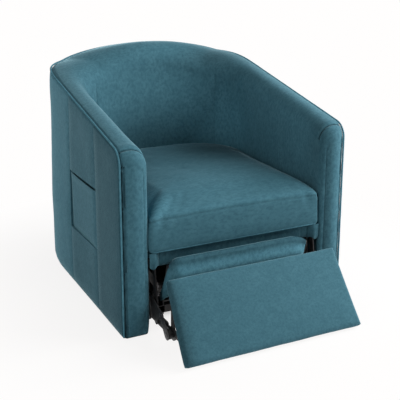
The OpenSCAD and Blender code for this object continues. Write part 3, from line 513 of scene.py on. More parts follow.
def noise_at(tree, vector, scale, detail=2.0, rough=0.5):
    return add_node(tree, "ShaderNodeTexNoise", {"Vector": vector, "Scale": scale, "Detail": detail,
                                                 "Roughness": rough}).outputs["Fac"]


def start_group(name, inputs):
    """Shader node group with named inputs that puts out a colour, a roughness and a normal"""
    tree = bpy.data.node_groups.new(name, "ShaderNodeTree")
    kinds = {"c": "NodeSocketColor", "f": "NodeSocketFloat", "v": "NodeSocketVector"}
    for label, kind, default in inputs:
        socket = tree.interface.new_socket(label, in_out="INPUT", socket_type=kinds[kind])
        socket.default_value = default
    for label, kind in (("Color", "c"), ("Roughness", "f"), ("Normal", "v")):
        tree.interface.new_socket(label, in_out="OUTPUT", socket_type=kinds[kind])
    given = tree.nodes.new("NodeGroupInput").outputs
    made = tree.nodes.new("NodeGroupOutput").inputs
    here = tree.nodes.new("ShaderNodeTexCoord").outputs
    return tree, given, made, here


def end_group(tree, made, color, roughness, strength, distance, height):
    """Links what a group puts out, with its normal from a bump of the given strength"""
    bump = add_node(tree, "ShaderNodeBump", {"Strength": strength, "Distance": distance, "Height": height})
    for label, socket in (("Color", color), ("Roughness", roughness), ("Normal", bump.outputs[0])):
        tree.links.new(socket, made[label])
    return tree


def brushed_nap_group():
    """Mottled nap: broad patches brushed two ways, fine flecks and a short pile's bump, times the painted light
    and shade that each piece carries
    """
    tree, given, made, here = start_group("Brushed nap", [
        ("Cloth", "c", (0.1, 0.2, 0.2, 1)), ("Nap", "c", (0.2, 0.3, 0.3, 1)), ("Shade", "c", (0.1, 0.1, 0.1, 1)),
        ("Patch", "f", 22.0), ("Stretch", "v", (1.0, 1.6, 0.8)), ("Grain", "f", 900.0), ("Contrast", "f", 0.6),
        ("Pile", "f", 0.3)])
    lean = add_node(tree, "ShaderNodeMapping", {"Vector": here["Object"], "Rotation": (0.1, 0.08, 0.12),
                                                "Scale": given["Stretch"]}).outputs[0]
    broad = noise_at(tree, lean, given["Patch"], 4.0, 0.55)
    brushed = noise_at(tree, lean, math_node(tree, "MULTIPLY", given["Patch"], 4.5), 3.0, 0.6)
    flecks = noise_at(tree, here["Object"], given["Grain"], 2.0, 0.6)
    lift = math_node(tree, "MULTIPLY", fit_range(tree, broad, 0.45, 0.68), given["Contrast"], clamp=True)
    drop = math_node(tree, "MULTIPLY", fit_range(tree, brushed, 0.58, 0.36),
                     math_node(tree, "MULTIPLY", given["Contrast"], 1.6), clamp=True)
    color = mix_color(tree, lift, given["Cloth"], given["Nap"])
    color = mix_color(tree, drop, color, given["Shade"])
    # The piece's painted light and shade, kept in a point attribute, scales the colour up or down
    painted_shading_and_nap = add_node(tree, "ShaderNodeAttribute", attribute_name="painted_shading_and_nap").outputs["Fac"]
    fleck = math_node(tree, "MULTIPLY", fit_range(tree, flecks, 0.3, 0.7, 0.86, 1.14),
                      math_node(tree, "ADD", painted_shading_and_nap, 1.0))
    color = mix_color(tree, 1.0, color, add_node(tree, "ShaderNodeCombineColor", {
        "Red": fleck, "Green": fleck, "Blue": fleck}).outputs[0], "MULTIPLY")
    height = math_node(tree, "ADD", flecks, math_node(tree, "MULTIPLY", brushed, 1.5))
    rough = fit_range(tree, brushed, 0.3, 0.7, 0.96, 0.78)
    return end_group(tree, made, color, rough, given["Pile"], 0.0006, height)


def scuff_group():
    """Fine scratches, rubbed patches and settled dust"""
    tree, given, made, here = start_group("Scuffs and dust", [
        ("Color", "c", (0.1, 0.1, 0.1, 1)), ("Rubbed", "c", (0.3, 0.3, 0.3, 1)),
        ("Dust", "c", (0.4, 0.38, 0.35, 1)), ("Scale", "f", 30.0), ("Wear", "f", 0.3), ("Settled", "f", 0.2),
        ("Roughness", "f", 0.4), ("Grain", "f", 0.1)])
    drawn = add_node(tree, "ShaderNodeMapping", {"Vector": here["Object"], "Scale": (1.0, 9.0, 1.5)}).outputs[0]
    scratches = noise_at(tree, drawn, math_node(tree, "MULTIPLY", given["Scale"], 3.0), 5.0, 0.7)
    patches = noise_at(tree, here["Object"], given["Scale"], 4.0, 0.6)
    rubbed = math_node(tree, "MULTIPLY", fit_range(tree, scratches, 0.62, 0.72),
                       fit_range(tree, patches, 0.45, 0.6), clamp=True)
    rubbed = math_node(tree, "MULTIPLY", rubbed, given["Wear"])
    up = add_node(tree, "ShaderNodeSeparateXYZ", {"Vector": here["Normal"]}).outputs["Z"]
    settled = math_node(tree, "MULTIPLY", fit_range(tree, up, 0.3, 1.0), fit_range(tree, patches, 0.35, 0.65))
    settled = math_node(tree, "MULTIPLY", settled, given["Settled"])
    color = mix_color(tree, rubbed, given["Color"], given["Rubbed"])
    color = mix_color(tree, settled, color, given["Dust"])
    rough = math_node(tree, "ADD", given["Roughness"], fit_range(tree, patches, 0.3, 0.7, -0.08, 0.12))
    rough = math_node(tree, "ADD", rough, math_node(tree, "MULTIPLY", settled, 0.5), clamp=True)
    fine = noise_at(tree, here["Object"], math_node(tree, "MULTIPLY", given["Scale"], 40.0), 2.0, 0.6)
    return end_group(tree, made, color, rough, given["Grain"], 0.0004, math_node(tree, "SUBTRACT", fine, rubbed))


def weave_group():
    """Plain weave of two crossing sets of threads"""
    tree, given, made, here = start_group("Plain weave", [
        ("Thread", "c", (0.05, 0.05, 0.05, 1)), ("Gap", "c", (0.01, 0.01, 0.01, 1)), ("Count", "f", 400.0)])
    heights = [add_node(tree, "ShaderNodeTexWave", {"Vector": here["Object"], "Scale": given["Count"],
                                                    "Distortion": 0.4, "Detail": 1.0},
                        bands_direction=way).outputs["Fac"] for way in ("X", "Y")]
    height = math_node(tree, "MAXIMUM", *heights)
    color = mix_color(tree, height, given["Gap"], given["Thread"])
    return end_group(tree, made, color, fit_range(tree, height, 0, 1, 0.95, 0.7), 0.4, 0.0008, height)


def ply_group():
    """Wood grain in bands that are drawn out along the wood"""
    tree, given, made, here = start_group("Wood grain", [
        ("Light", "c", (0.5, 0.35, 0.2, 1)), ("Dark", "c", (0.3, 0.18, 0.09, 1)), ("Scale", "f", 12.0)])
    along = add_node(tree, "ShaderNodeMapping", {"Vector": here["Object"], "Scale": (6.0, 0.6, 6.0)}).outputs[0]
    bands = noise_at(tree, along, given["Scale"], 6.0, 0.65)
    color = mix_color(tree, fit_range(tree, bands, 0.35, 0.65), given["Light"], given["Dark"])
    return end_group(tree, made, color, fit_range(tree, bands, 0.3, 0.7, 0.7, 0.85), 0.25, 0.0005, bands)


GROUPS = {"Brushed nap": brushed_nap_group, "Scuffs and dust": scuff_group, "Plain weave": weave_group,
          "Wood grain": ply_group}


def finish_material(name, group, inputs, constants):
    """A material whose colour, roughness and normal come from a shared group, with its own values"""
    known = bpy.data.materials.get(name)
    if known:
        return known
    material = bpy.data.materials.new(name)
    material.use_nodes = True
    tree = material.node_tree
    shader = tree.nodes["Principled BSDF"]
    detail = tree.nodes.new("ShaderNodeGroup")
    detail.node_tree = bpy.data.node_groups.get(group) or GROUPS[group]()
    for label, value in inputs.items():
        detail.inputs[label].default_value = value
    for made, used in (("Color", "Base Color"), ("Roughness", "Roughness"), ("Normal", "Normal")):
        tree.links.new(detail.outputs[made], shader.inputs[used])
    for label, value in constants.items():
        shader.inputs[label].default_value = value
    return material


def opaque(color, factor=1.0):
    return (*(min(1.0, c * factor) for c in color), 1.0)


def microfibre(name="Teal microfibre", lighten=1.0, patch=22.0, contrast=0.42, sheen=0.8,
               stretch=(1.0, 1.6, 0.8)):
    colors = bpy.context.scene.chair_colors
    inputs = {"Cloth": opaque(colors.cloth, lighten), "Nap": opaque(colors.nap, lighten),
              "Shade": opaque(colors.shade, lighten), "Patch": patch, "Stretch": stretch,
              "Grain": 900.0, "Contrast": contrast, "Pile": 0.35}
    return finish_material(name, "Brushed nap", inputs, {
        "Sheen Weight": sheen, "Sheen Roughness": 0.3, "Sheen Tint": opaque(colors.sheen),
        "Specular IOR Level": 0.1})


# A lighter copy of the microfibre for the piping and the welt: a painted highlight along the cords
def highlit_piping_microfibre():
    return microfibre("Piping microfibre with painted highlight", 1.45, sheen=0.0)


def lining():
    return finish_material("Black lining", "Plain weave", {
        "Thread": (0.012, 0.012, 0.013, 1), "Gap": (0.004, 0.004, 0.004, 1), "Count": 300.0},
        {"Specular IOR Level": 0.2})


def painted_steel():
    steel = bpy.context.scene.chair_colors.steel
    return finish_material("Black painted steel", "Scuffs and dust", {
        "Color": opaque(steel), "Rubbed": (0.09, 0.09, 0.095, 1), "Scale": 28.0, "Wear": 0.5, "Settled": 0.05,
        "Roughness": 0.42, "Grain": 0.12}, {"Specular IOR Level": 0.35})


def zinc():
    return finish_material("Zinc plated steel", "Scuffs and dust", {
        "Color": (0.20, 0.20, 0.21, 1), "Rubbed": (0.34, 0.34, 0.35, 1), "Scale": 60.0, "Wear": 0.5,
        "Settled": 0.05, "Roughness": 0.38, "Grain": 0.1}, {"Metallic": 1.0})


def moulded_plastic(name="Black moulded plastic", color=(0.02, 0.02, 0.022)):
    return finish_material(name, "Scuffs and dust", {
        "Color": opaque(color), "Rubbed": opaque(color, 2.2), "Scale": 40.0, "Wear": 0.4, "Settled": 0.12,
        "Roughness": 0.5, "Grain": 0.5}, {"Specular IOR Level": 0.4})


def button_plastic():
    return moulded_plastic("Grey button plastic", (0.12, 0.13, 0.14))


def plywood():
    wood = bpy.context.scene.chair_colors.wood
    return finish_material("Plywood", "Wood grain", {
        "Light": opaque(wood), "Dark": opaque(wood, 0.6), "Scale": 12.0}, {"Specular IOR Level": 0.3})


def webbing():
    return finish_material("Elastic webbing", "Plain weave", {
        "Thread": (0.03, 0.03, 0.032, 1), "Gap": (0.006, 0.006, 0.006, 1), "Count": 160.0},
        {"Specular IOR Level": 0.2})


# Shape of the tub. Here y is measured from the arm fronts.

def arm_line(y):
    tub = bpy.context.scene.tub_sizes
    return tub.arm_height + tub.arm_rise * y / DEPTH


def super_curve(half, deep, power, angles):
    """Half of a superellipse from its left end round to its right end"""
    c, s = np.cos(angles), np.sin(angles)
    return np.column_stack([-half * np.sign(c) * np.abs(c) ** (2 / power), deep * np.abs(s) ** (2 / power)])


class Tub:
    """Plan points, heights and shares of the tub's stations, from the left arm front round to the right one"""

    def __init__(self):
        tub, pocket, _, _ = settings()
        self.inner_half = HALF_WIDTH - tub.arm_thickness
        self.arm_run = DEPTH - tub.turn_depth
        self.inner_run = self.arm_run - tub.inner_lead
        self.inner_turn = DEPTH - tub.back_thickness - self.inner_run
        self.side_seams = (pocket.front, pocket.front + pocket.width)
        self.make_half()
        self.make_all()

    def inner_x(self, y):
        turned = np.clip((np.asarray(y) - self.inner_run) / self.inner_turn, 0, 1)
        return self.inner_half * (1 - turned ** INNER_POWER) ** (1 / INNER_POWER)

    def make_half(self):
        tub = bpy.context.scene.tub_sizes
        r, cut = tub.nose_radius, tub.edge_cut
        cross_seam, nose_step = math.radians(55), math.radians(4.5)
        run_step, turn_step = 0.016, 0.014
        angles = spaced(0, math.pi / 2, nose_step, [cross_seam], [o / r for o in (0.0, 0.0012, 0.0026, 0.005)])
        nose_y = r * (1 - np.cos(angles))
        full_rise, cut_rise = (np.sqrt(np.clip((r - inset) ** 2 - (r - nose_y) ** 2, 0, None))
                               for inset in (0, cut))
        nose_out = np.column_stack([-HALF_WIDTH + np.maximum(0, cut - nose_y), nose_y])
        rounded = np.clip(1 - nose_y / tub.corner_radius, 0, 1)
        nose_in = np.column_stack([-self.inner_half - tub.corner_radius * (1 - np.sqrt(1 - rounded ** 2)), nose_y])
        nose_top = arm_line(nose_y) - r * (1 - np.sin(angles))

        run = spaced(r, self.arm_run, run_step, self.side_seams, (0.0, 0.0007, 0.0015, 0.003, 0.006))[1:]
        skew_from = self.inner_run - tub.arm_thickness / 2
        end_in = self.inner_point(np.array([[-HALF_WIDTH, self.arm_run]]))[0]
        skew = np.clip((run - skew_from) / (self.arm_run - skew_from), 0, 1)
        run_y = run - skew * (self.arm_run - end_in[1])
        run_out = np.column_stack([np.full(len(run), -HALF_WIDTH), run])
        run_in = np.column_stack([-self.inner_x(run_y), run_y])

        fine = super_curve(HALF_WIDTH, tub.turn_depth, OUTER_POWER, np.linspace(0, math.pi / 2, 1500))
        fine += (0, self.arm_run)
        along = np.concatenate([[0], np.cumsum(np.linalg.norm(np.diff(fine, axis=0), axis=1))])
        fine_in = self.inner_point(fine)
        seam_at = np.interp(-tub.panel_seam, fine_in[:, 0], along)
        turns = spaced(0, along[-1], turn_step, [seam_at])[1:]
        turn_out = np.column_stack([np.interp(turns, along, fine[:, i]) for i in (0, 1)])
        turn_in = self.inner_point(turn_out)
        turn_in[-1, 0] = turn_out[-1, 0] = 0

        self.out = np.vstack([nose_out, run_out, turn_out])
        self.inn = np.vstack([nose_in, run_in, turn_in])
        self.nose = np.concatenate([angles, np.full(len(run) + len(turns), math.pi / 2)])
        rest = self.out[len(angles):]
        crown = tub.crown * np.clip(1 - (rest[:, 0] / (HALF_WIDTH * tub.crown_reach)) ** 2, 0, None)
        self.top = np.concatenate([nose_top, arm_line(rest[:, 1]) + crown])
        self.cut = np.concatenate([full_rise - cut_rise, np.full(len(rest), cut)])
        self.cross = np.concatenate([r * np.abs(angles - cross_seam), np.full(len(rest), NOT_NEAR)])
        self.side = np.min([np.abs(self.out[:, 1] - s) for s in self.side_seams], axis=0)
        self.side[:len(angles)] = self.side[len(angles) + len(run):] = NOT_NEAR
        self.back = np.concatenate([np.full(len(angles) + len(run), NOT_NEAR), np.abs(turns - seam_at)])

    def inner_point(self, out):
        """Point of the inner face in the same direction from the middle of its curve as the outer point"""
        way = out - (0, self.inner_run)
        way = way / np.linalg.norm(way, axis=1)[:, None]
        shares = np.abs(way / (self.inner_half, self.inner_turn)) ** INNER_POWER
        return way * (shares.sum(axis=1) ** (-1 / INNER_POWER))[:, None] + (0, self.inner_run)

    def make_all(self):
        """Adds the right half as the mirror image of the left"""
        for name in ("out", "inn", "nose", "top", "cut", "cross", "side", "back"):
            half = getattr(self, name)
            other = half[-2::-1] * ((-1, 1) if half.ndim == 2 else 1)
            setattr(self, name, np.concatenate([half, other]))

    def piping_path(self):
        """Middle of the piping: up an arm front, round the top edge and down the other front"""
        tub = bpy.context.scene.tub_sizes
        clearance, hem_gap, step = 0.0003, 0.004, 0.012
        inset = tub.edge_cut / 2 - (tub.piping / 2 + clearance) / math.sqrt(2)
        inward = self.inn - self.out
        inward /= np.linalg.norm(inward, axis=1)[:, None]
        path = np.column_stack([self.out + inward * inset, self.top - inset])
        lifted = self.nose < math.pi / 2
        side = np.sign(path[:, 0])
        path[lifted, 0] = side[lifted] * (HALF_WIDTH - inset)
        path[lifted, 1] = self.out[lifted, 1] + inset * np.cos(self.nose[lifted])
        path[lifted, 2] = self.top[lifted] - inset * np.sin(self.nose[lifted])
        ends = [path[0], path[-1]]
        uprights = [np.array([[e[0], e[1], z] for z in np.arange(HEM_Z + hem_gap, e[2] - 0.01, step)])
                    for e in ends]
        path = np.vstack([uprights[0], path, uprights[1][::-1]])
        return path + (0, FRONT_Y, 0)


def tub_block(shape):
    """The tub before it is padded, with the station, column and row of each point and the parts it is on"""
    tub, pocket, _, _ = settings()
    level_top, level_step, fold = 0.44, 0.020, 0.004
    pocket_seams = (pocket.bottom, pocket.bottom + pocket.height, pocket.bottom + pocket.height + pocket.mouth)
    fixed = spaced(HEM_Z, level_top, level_step, pocket_seams, (0.0, 0.0007, 0.0016, 0.0035))
    fixed = np.concatenate([[HEM_Z, HEM_Z + fold], fixed[1:]])
    upper = np.concatenate([np.linspace(0, 0.9, 10)[1:], [0.935, 0.962, 0.98, 0.992, 1]])

    # Over the top edge, the columns cross a nearly flat part and then the padded roll down to the inner face
    flat_share, flat_rise = 0.42, 0.07
    bends = np.radians(np.linspace(0, 90, 10))
    flat = np.array([0.125, 0.148, 0.185, 0.24, 0.31])
    shares = np.concatenate([flat, flat_share + (1 - flat_share) * np.sin(bends)])
    rolls = np.concatenate([flat_rise * np.sin(flat / flat_share * math.pi / 2),
                            -1 + (1 + flat_rise) * np.cos(bends)])
    stations, columns, rows = len(shape.out) - 1, len(shares) + 1, len(fixed) + len(upper) - 1
    piece, k, j, l = block("tub_cover", stations, columns, rows)

    width = np.linalg.norm(shape.inn - shape.out, axis=1)[k]
    across = np.where(j == 0, 0.0, np.where(j == 1, tub.edge_cut / width,
                                            np.concatenate([[0, 0], shares])[j]))
    roll = np.concatenate([[0, 0], rolls])[j]
    depth = np.interp(shape.out[k][:, 1], (0, tub.roll_grow), (tub.roll_front, tub.roll_height))
    top = shape.top[k] + np.where(j == 0, -shape.cut[k], roll * depth)
    last = len(fixed) - 1
    low = fixed[np.minimum(l, last)]
    climb = np.concatenate([[0], upper])[np.maximum(l - last, 0)]
    plan = shape.out[k] + (shape.inn - shape.out)[k] * across[:, None]
    points = np.column_stack([plan, low + (top - low) * climb])
    end = (k == 0) | (k == stations)
    under = (l == 0) & ((j == 0) | (j == columns) | end)
    inward = (shape.inn - shape.out)[k] / width[:, None]
    turned = np.where(j == 0, 1, np.where(j == columns, -1, 0)) * under
    points[:, :2] += inward * (turned * tub.hem_turn)[:, None]
    points[:, 1] += np.where(under & end, tub.hem_turn, 0)
    place_points(piece, points + (0, FRONT_Y, 0))
    face_out(piece)
    return piece, (k, j, l), (end, j == columns, l == rows, (l <= last) & (j == 0)), across, low


def make_tub():
    tub, pocket, _, _ = settings()
    shape = Tub()
    piece, (k, j, l), (end, inner, rim_row, level), across, low = tub_block(shape)

    # Seams draw the padding in, and it swells between them
    points = points_of(piece)
    crossing = np.where(rim_row, shape.cross[k], NOT_NEAR)
    sides = np.where(j == 0, shape.side[k], NOT_NEAR)
    inside = np.where(inner, shape.back[k], NOT_NEAR)
    cross_share, side_share, inside_share, cross_width_share = 1.9, 0.2, 0.3, 0.9
    seams = groove(crossing, cross_share * tub.seam_depth, cross_width_share * tub.seam_width)
    seams += groove(sides, side_share * tub.seam_depth, tub.seam_width)
    seams += groove(inside, inside_share * tub.seam_depth, tub.seam_width)
    edge, beside = near(points, [Vector(p) for p in shape.piping_path()])
    seams += groove(edge - tub.channel_side, tub.channel_depth, tub.channel_width)
    flat_edge, soft_reach = 0.006, 0.022
    soft = 1 - np.exp(-(np.maximum(edge - flat_edge, 0) / soft_reach) ** 1.3)
    held_share, held_reach = 0.6, 0.014
    drawn = 1 - held_share * bell(np.minimum(np.minimum(crossing, sides), inside), held_reach)
    gather_rate, gather_seed, gather_height, gather_reach = 0.55, 3.1, 0.0006, 0.016
    gathers = wrinkles(np.column_stack([gather_rate * beside, np.full(len(beside), gather_seed)]), 0)
    pucker = gathers * bell(edge, gather_reach)
    slack = slack_of("tub", points)
    hem_rise, full_top, full_span = 0.03, 0.56, 0.3
    bottom = ramp(points[:, 2], HEM_Z, hem_rise)
    rear_half = 0.5 * shape.arm_run
    full = tub.fullness * ramp(shape.out[k][:, 1], rear_half, rear_half) * (j == 0)
    full *= fade(points[:, 2], full_top, full_span)
    faces = np.where(end, 1.0, np.where(rim_row, np.clip(np.cos(shape.nose[k]), 0, 1), 0))
    dome = tub.front_crown * faces * (1 - np.clip(2 * across - 1.04, -1, 1) ** 2) * ~inner
    amounts = tub.padding * soft * drawn + gather_height * pucker + slack * soft + full + dome
    push(piece, np.where(l == 0, 0, amounts * bottom + seams))

    # The pocket's cloth lies over a hollow in the left side
    points = points_of(piece)
    y = points[:, 1] - FRONT_Y
    rim = 0.0004
    mouth = pocket.bottom + pocket.height + pocket.mouth
    pouch = (level & ~end & (points[:, 0] < 0) & (y > pocket.front + rim) & (y < pocket.front + pocket.width - rim)
             & (low > pocket.bottom + rim) & (low < mouth - rim))
    points[pouch, 0] = -HALF_WIDTH + pocket.depth
    place_points(piece, points)

    # Painted shade along the seams and painted light and shade in patches; each side panel has its own nap tone
    # with painted light added
    distances = {"crossing": crossing, "sides": sides, "inside": inside, "edge": edge}
    painted_shading_and_nap = sum(amount * bell(distances[seam] - beyond, width) for seam, amount, beyond, width in TUB_SEAM_SHADING)
    painted_shading_and_nap += patched(points, TUB_PAINTED_SHADING, {"inner": inner, "roll": j > 1, "faces": ~end, "fronts": end})
    # Painted shade on the inner half of the right arm front, and a little painted light on its outer edge
    right_front = end & (points[:, 0] > 0)
    shade_x, shade_span = 0.346, 0.03
    painted_shading_and_nap += np.where(right_front, 0.42 * np.clip((points[:, 0] - shade_x) / shade_span, -1, 0.1), 0)
    # The side panels: a nap tone of each panel's own, darker at the front, plus painted light that grows towards
    # the back; the right side takes a smaller share
    seam, rear_y, rear_span, right_share = 0.003, 0.46, 0.28, 0.35
    behind = (y - pocket.front) / seam
    side_panel_nap_and_shading = (-0.9 + 1.3 * np.clip(behind, -1, 0) + 1.8 * ramp(behind, pocket.width / seam, 1)
              + 3.0 * ramp(y, rear_y, rear_span)) * (j == 0) * np.where(points[:, 0] < 0, 1.0, right_share)
    paint_shading(piece, painted_shading_and_nap + tub.panel_nap_and_shading * side_panel_nap_and_shading)
    finish(piece, "carriage", "fabric", microfibre(), lining(), smooth=40,
           replaces=("left_arm_upholstery", "right_arm_upholstery", "back_upholstery"), fill=1.0)
    flat_play = 0.0005
    underside = [polygon.center.z < HEM_Z + flat_play for polygon in piece.data.polygons]
    piece.data.polygons.foreach_set("material_index", np.array(underside, dtype=np.int32))


def make_piping():
    tub, _, _, _ = settings()
    path = Tub().piping_path()
    unevenness = 0.00025
    path = path + np.column_stack([unevenness * ripple(path, 0.02, s) for s in (1, 2, 3)])
    piece = tube("piping_cord", path, tub.piping / 2, sides=12)
    finish(piece, "carriage", "fabric", highlit_piping_microfibre(), replaces=("piping",))


def make_pocket():
    tub, pocket, _, _ = settings()
    thick, wide, high = 4, 34, 26
    piece, i, j, l = block("pocket_cover", thick, wide, high)
    u, v = j / wide, l / high
    y = FRONT_Y + pocket.front + pocket.width * u
    z = pocket.bottom + pocket.height * v
    seam_reach, gape_share, sag_share, swell_share = 0.02, 0.06, 0.14, 0.8
    from_seam = np.minimum(np.minimum(u, 1 - u) * pocket.width, v * pocket.height)
    outward = tub.padding * ramp(from_seam, 0, seam_reach)
    arch = np.sin(math.pi * u)
    gape = pocket.gape * bell(1 - v, gape_share) * arch ** 0.7
    sag = pocket.gape * bell(1 - v, sag_share) * arch
    hem = pocket.hem * (v > 1 - pocket.hem_height / pocket.height)
    face = -HALF_WIDTH - swell_share * outward - gape - hem
    points = np.column_stack([face + (i / thick) * (pocket.cloth + hem), y, z - sag])
    points[:, 0] -= slack_of("pocket", points) * arch
    place_points(piece, points)
    face_out(piece)
    finish(piece, "carriage", "fabric", microfibre(), replaces=("pocket_panel",))


def cushion_radius(shape, seat, angles):
    """Distance from the cushion's middle to its outline in each direction"""
    half = shape.inner_half - seat.cushion_gap
    front = -seat.cushion_lip
    back = DEPTH - bpy.context.scene.tub_sizes.back_thickness - seat.cushion_gap
    middle = (front + back) / 2
    back_curve = super_curve(half, back - shape.inner_run, CUSHION_POWER, np.linspace(0, math.pi, 400))
    back_curve += (0, shape.inner_run)
    r = seat.cushion_corner
    bend = np.linspace(0, math.pi / 2, 20)
    right = np.column_stack([half - r * (1 - np.cos(bend)), front + r * (1 - np.sin(bend))])
    outline = np.vstack([back_curve, right, right[::-1] * (-1, 1)]) - (0, middle)
    outline = np.vstack([outline, outline[:1]])
    steps = np.linalg.norm(np.diff(outline, axis=0), axis=1)
    along = np.concatenate([[0], np.cumsum(steps)])
    fine = np.linspace(0, along[-1], 4000)
    dense = np.column_stack([np.interp(fine, along, outline[:, n]) for n in (0, 1)])
    way = np.arctan2(dense[:, 1], dense[:, 0])
    order = np.argsort(way)
    return np.interp(angles, way[order], np.linalg.norm(dense, axis=1)[order], period=2 * math.pi), middle


def cushion_block(shape):
    """The cushion before it is stuffed: drawn-in sides, a tucked lower edge and a crowned top"""
    tub, _, seat, _ = settings()
    low_z, crown_z = CUSHION[0].z, CUSHION[1].z
    seam_z = low_z + seat.cushion_side
    cells, rows = 44, 22
    crown_room, waist_share, shoulder_share, tuck_share, tuck_rows = 0.010, 0.10, 0.16, 0.20, 0.08
    piece, i, j, l = block("seat_cushion_cover", cells, cells, rows)
    p, q, w = 2 * i / cells - 1, 2 * j / cells - 1, l / rows
    ring = np.maximum(np.abs(p), np.abs(q))
    half = shape.inner_half - seat.cushion_gap
    deep = (DEPTH - tub.back_thickness - seat.cushion_gap + seat.cushion_lip) / 2
    angle = np.arctan2(q * deep, p * half)
    radius, middle = cushion_radius(shape, seat, angle)
    drawn = waist_share * np.sin(math.pi * w) ** 1.2 + shoulder_share * (l == rows)
    side = 1 - (seat.side_draw * drawn) / radius
    lower = (1 - np.clip(w / tuck_rows, 0, 1)) * tuck_share * seat.side_draw / radius
    reach = radius * ring * (side - lower)
    top = seam_z + (crown_z - seam_z - crown_room) * (1 - ring ** 4.8)
    z = np.where(l == rows, top, low_z + w * (seam_z - low_z))
    place_points(piece, np.column_stack([reach * np.cos(angle), reach * np.sin(angle) + middle + FRONT_Y, z]))
    face_out(piece)
    return piece, middle, low_z, seam_z


def make_cushion():
    _, _, seat, _ = settings()
    shape = Tub()
    piece, middle, low_z, seam_z = cushion_block(shape)

    def hold(points):
        """The underside rests on the webbing, and the top seam is held a little by its stitches"""
        rest_top, rest_span, stitch_reach, stitch_share, rim_share = 0.012, 0.008, 0.006, 0.25, 0.93
        resting = fade(points[:, 2], low_z + rest_top, rest_span)
        stitched = bell(points[:, 2] - seam_z, stitch_reach)
        away = np.hypot(points[:, 0], points[:, 1] - middle - FRONT_Y)
        ways = np.linspace(-math.pi, math.pi, 721)
        rim = np.interp(np.arctan2(points[:, 1] - middle - FRONT_Y, points[:, 0]), ways,
                        cushion_radius(shape, seat, ways)[0])
        return np.maximum(resting, stitch_share * stitched * (away > rim_share * rim))

    voxel, pressure = 0.007, 4.0
    points = swell(piece, voxel, pressure, seat.swell_reach, hold, evening=6)

    # The walls of the tub hold the sides in, the front corners sink and the back rides up
    y = points[:, 1] - FRONT_Y
    wall, wall_front, bottom_play = shape.inner_x(y) - seat.cushion_gap / 2, 0.012, 0.0003
    points[:, 0] = np.where(y > wall_front, np.clip(points[:, 0], -wall, wall), points[:, 0])
    lifted = ramp(points[:, 2], low_z, seat.cushion_side)
    corner_x, corner_y, corner_width, corner_depth, left_share = 0.21, 0.13, 0.09, 0.14, 0.45
    corner = np.where(points[:, 0] > 0, 1.0, left_share) * ramp(np.abs(points[:, 0]), corner_x, corner_width) ** 2
    points[:, 2] -= seat.corner_drop * corner * fade(y, corner_y, corner_depth) * lifted ** 2
    rise_y, rise_span = 0.25, 0.35
    points[:, 2] += seat.back_rise * ramp(y, rise_y, rise_span) ** 2 * lifted ** 4
    lean_x, lean_y, lean_reach = -0.2, 0.012, 0.03
    leaning = bell(y - lean_y, lean_reach) * (points[:, 0] < lean_x) * np.sin(lifted * math.pi) ** 2
    points[:, 0] -= seat.left_lean * leaning
    points[:, 2] = np.maximum(points[:, 2], low_z + bottom_play)
    place_points(piece, points)
    points = subdivided(piece)

    # Seam, slack cloth and fine creases
    x, y, z = points[:, 0], points[:, 1] - FRONT_Y, points[:, 2]
    away = np.hypot(x, y - middle)
    rim, _ = cushion_radius(shape, seat, np.arctan2(y - middle, x))
    outer = away > 0.9 * rim
    above = z - (low_z + seat.front_seam + seat.seam_climb * (1 - (x / shape.inner_half) ** 2))
    seam = np.where(outer, np.abs(above), NOT_NEAR)
    upright_height, front_reach = 0.0012, 0.05
    fan_height, fan_x, fan_width, fan_depth = 0.0014, -0.24, 0.09, 0.07
    upright = wrinkles(np.column_stack([24 * x, 5 * z]), 4.0) * bell(y + seat.cushion_lip, front_reach)
    fans = wrinkles(np.column_stack([10 * (x + 2.2 * z), 34 * (z - 0.35 * x)]), 7.0)
    fans *= bell(x - fan_x, fan_width) * bell(y, fan_depth)
    creases = slack_of("cushion", points) + upright_height * upright + fan_height * fans
    smooth_edge, crease_rise = 0.004, 0.012
    creases *= ramp(z, low_z + smooth_edge, crease_rise)
    push(piece, groove(seam, seat.seam_draw, seat.seam_half) + creases)
    points = points_of(piece)
    drawn_share = 0.5
    points[:, 1] += drawn_share * np.maximum(0, FRONT_Y - seat.front_slack - points[:, 1])
    place_points(piece, points)

    # Painted shade towards the back, along the rim by the tub's walls, in the seam and on the sides below it;
    # painted light and shade in patches, and a painted highlight on the front edge
    edge, edge_width, edge_depth, seam_width = 0.012, 0.009, 0.05, 0.0024
    back_y, back_slant, back_span, rim_share = 0.10, 0.12, 0.30, 0.03
    on_top = ramp(above, 0, edge)
    painted_shading_and_nap = patched(points, CUSHION_PAINTED_SHADING, {"top": on_top, "all": 1.0})
    painted_shading_and_nap -= 0.30 * on_top * ramp(y, back_y + back_slant * (points[:, 0] + 0.3), back_span)
    painted_shading_and_nap -= 0.45 * on_top * bell(away / rim - 1.0, rim_share) * (y > edge_depth)
    painted_shading_and_nap -= 0.13 * bell(seam, seam_width) + 0.10 * (1 - on_top)
    painted_shading_and_nap += 0.08 * bell(above - edge, edge_width) * outer * (y < edge_depth)
    paint_shading(piece, np.clip(painted_shading_and_nap, -0.85, 1))
    cloth = microfibre("Cushion microfibre", sheen=0.35, contrast=0.36, stretch=(0.7, 2.0, 1.2))
    finish(piece, "carriage", "fabric", cloth, smooth=80, replaces=("seat_cushion",), fill=0.8)
    welt_rise = 0.55 * seat.welt
    make_welt(piece, shape, seat, low_z + welt_rise)


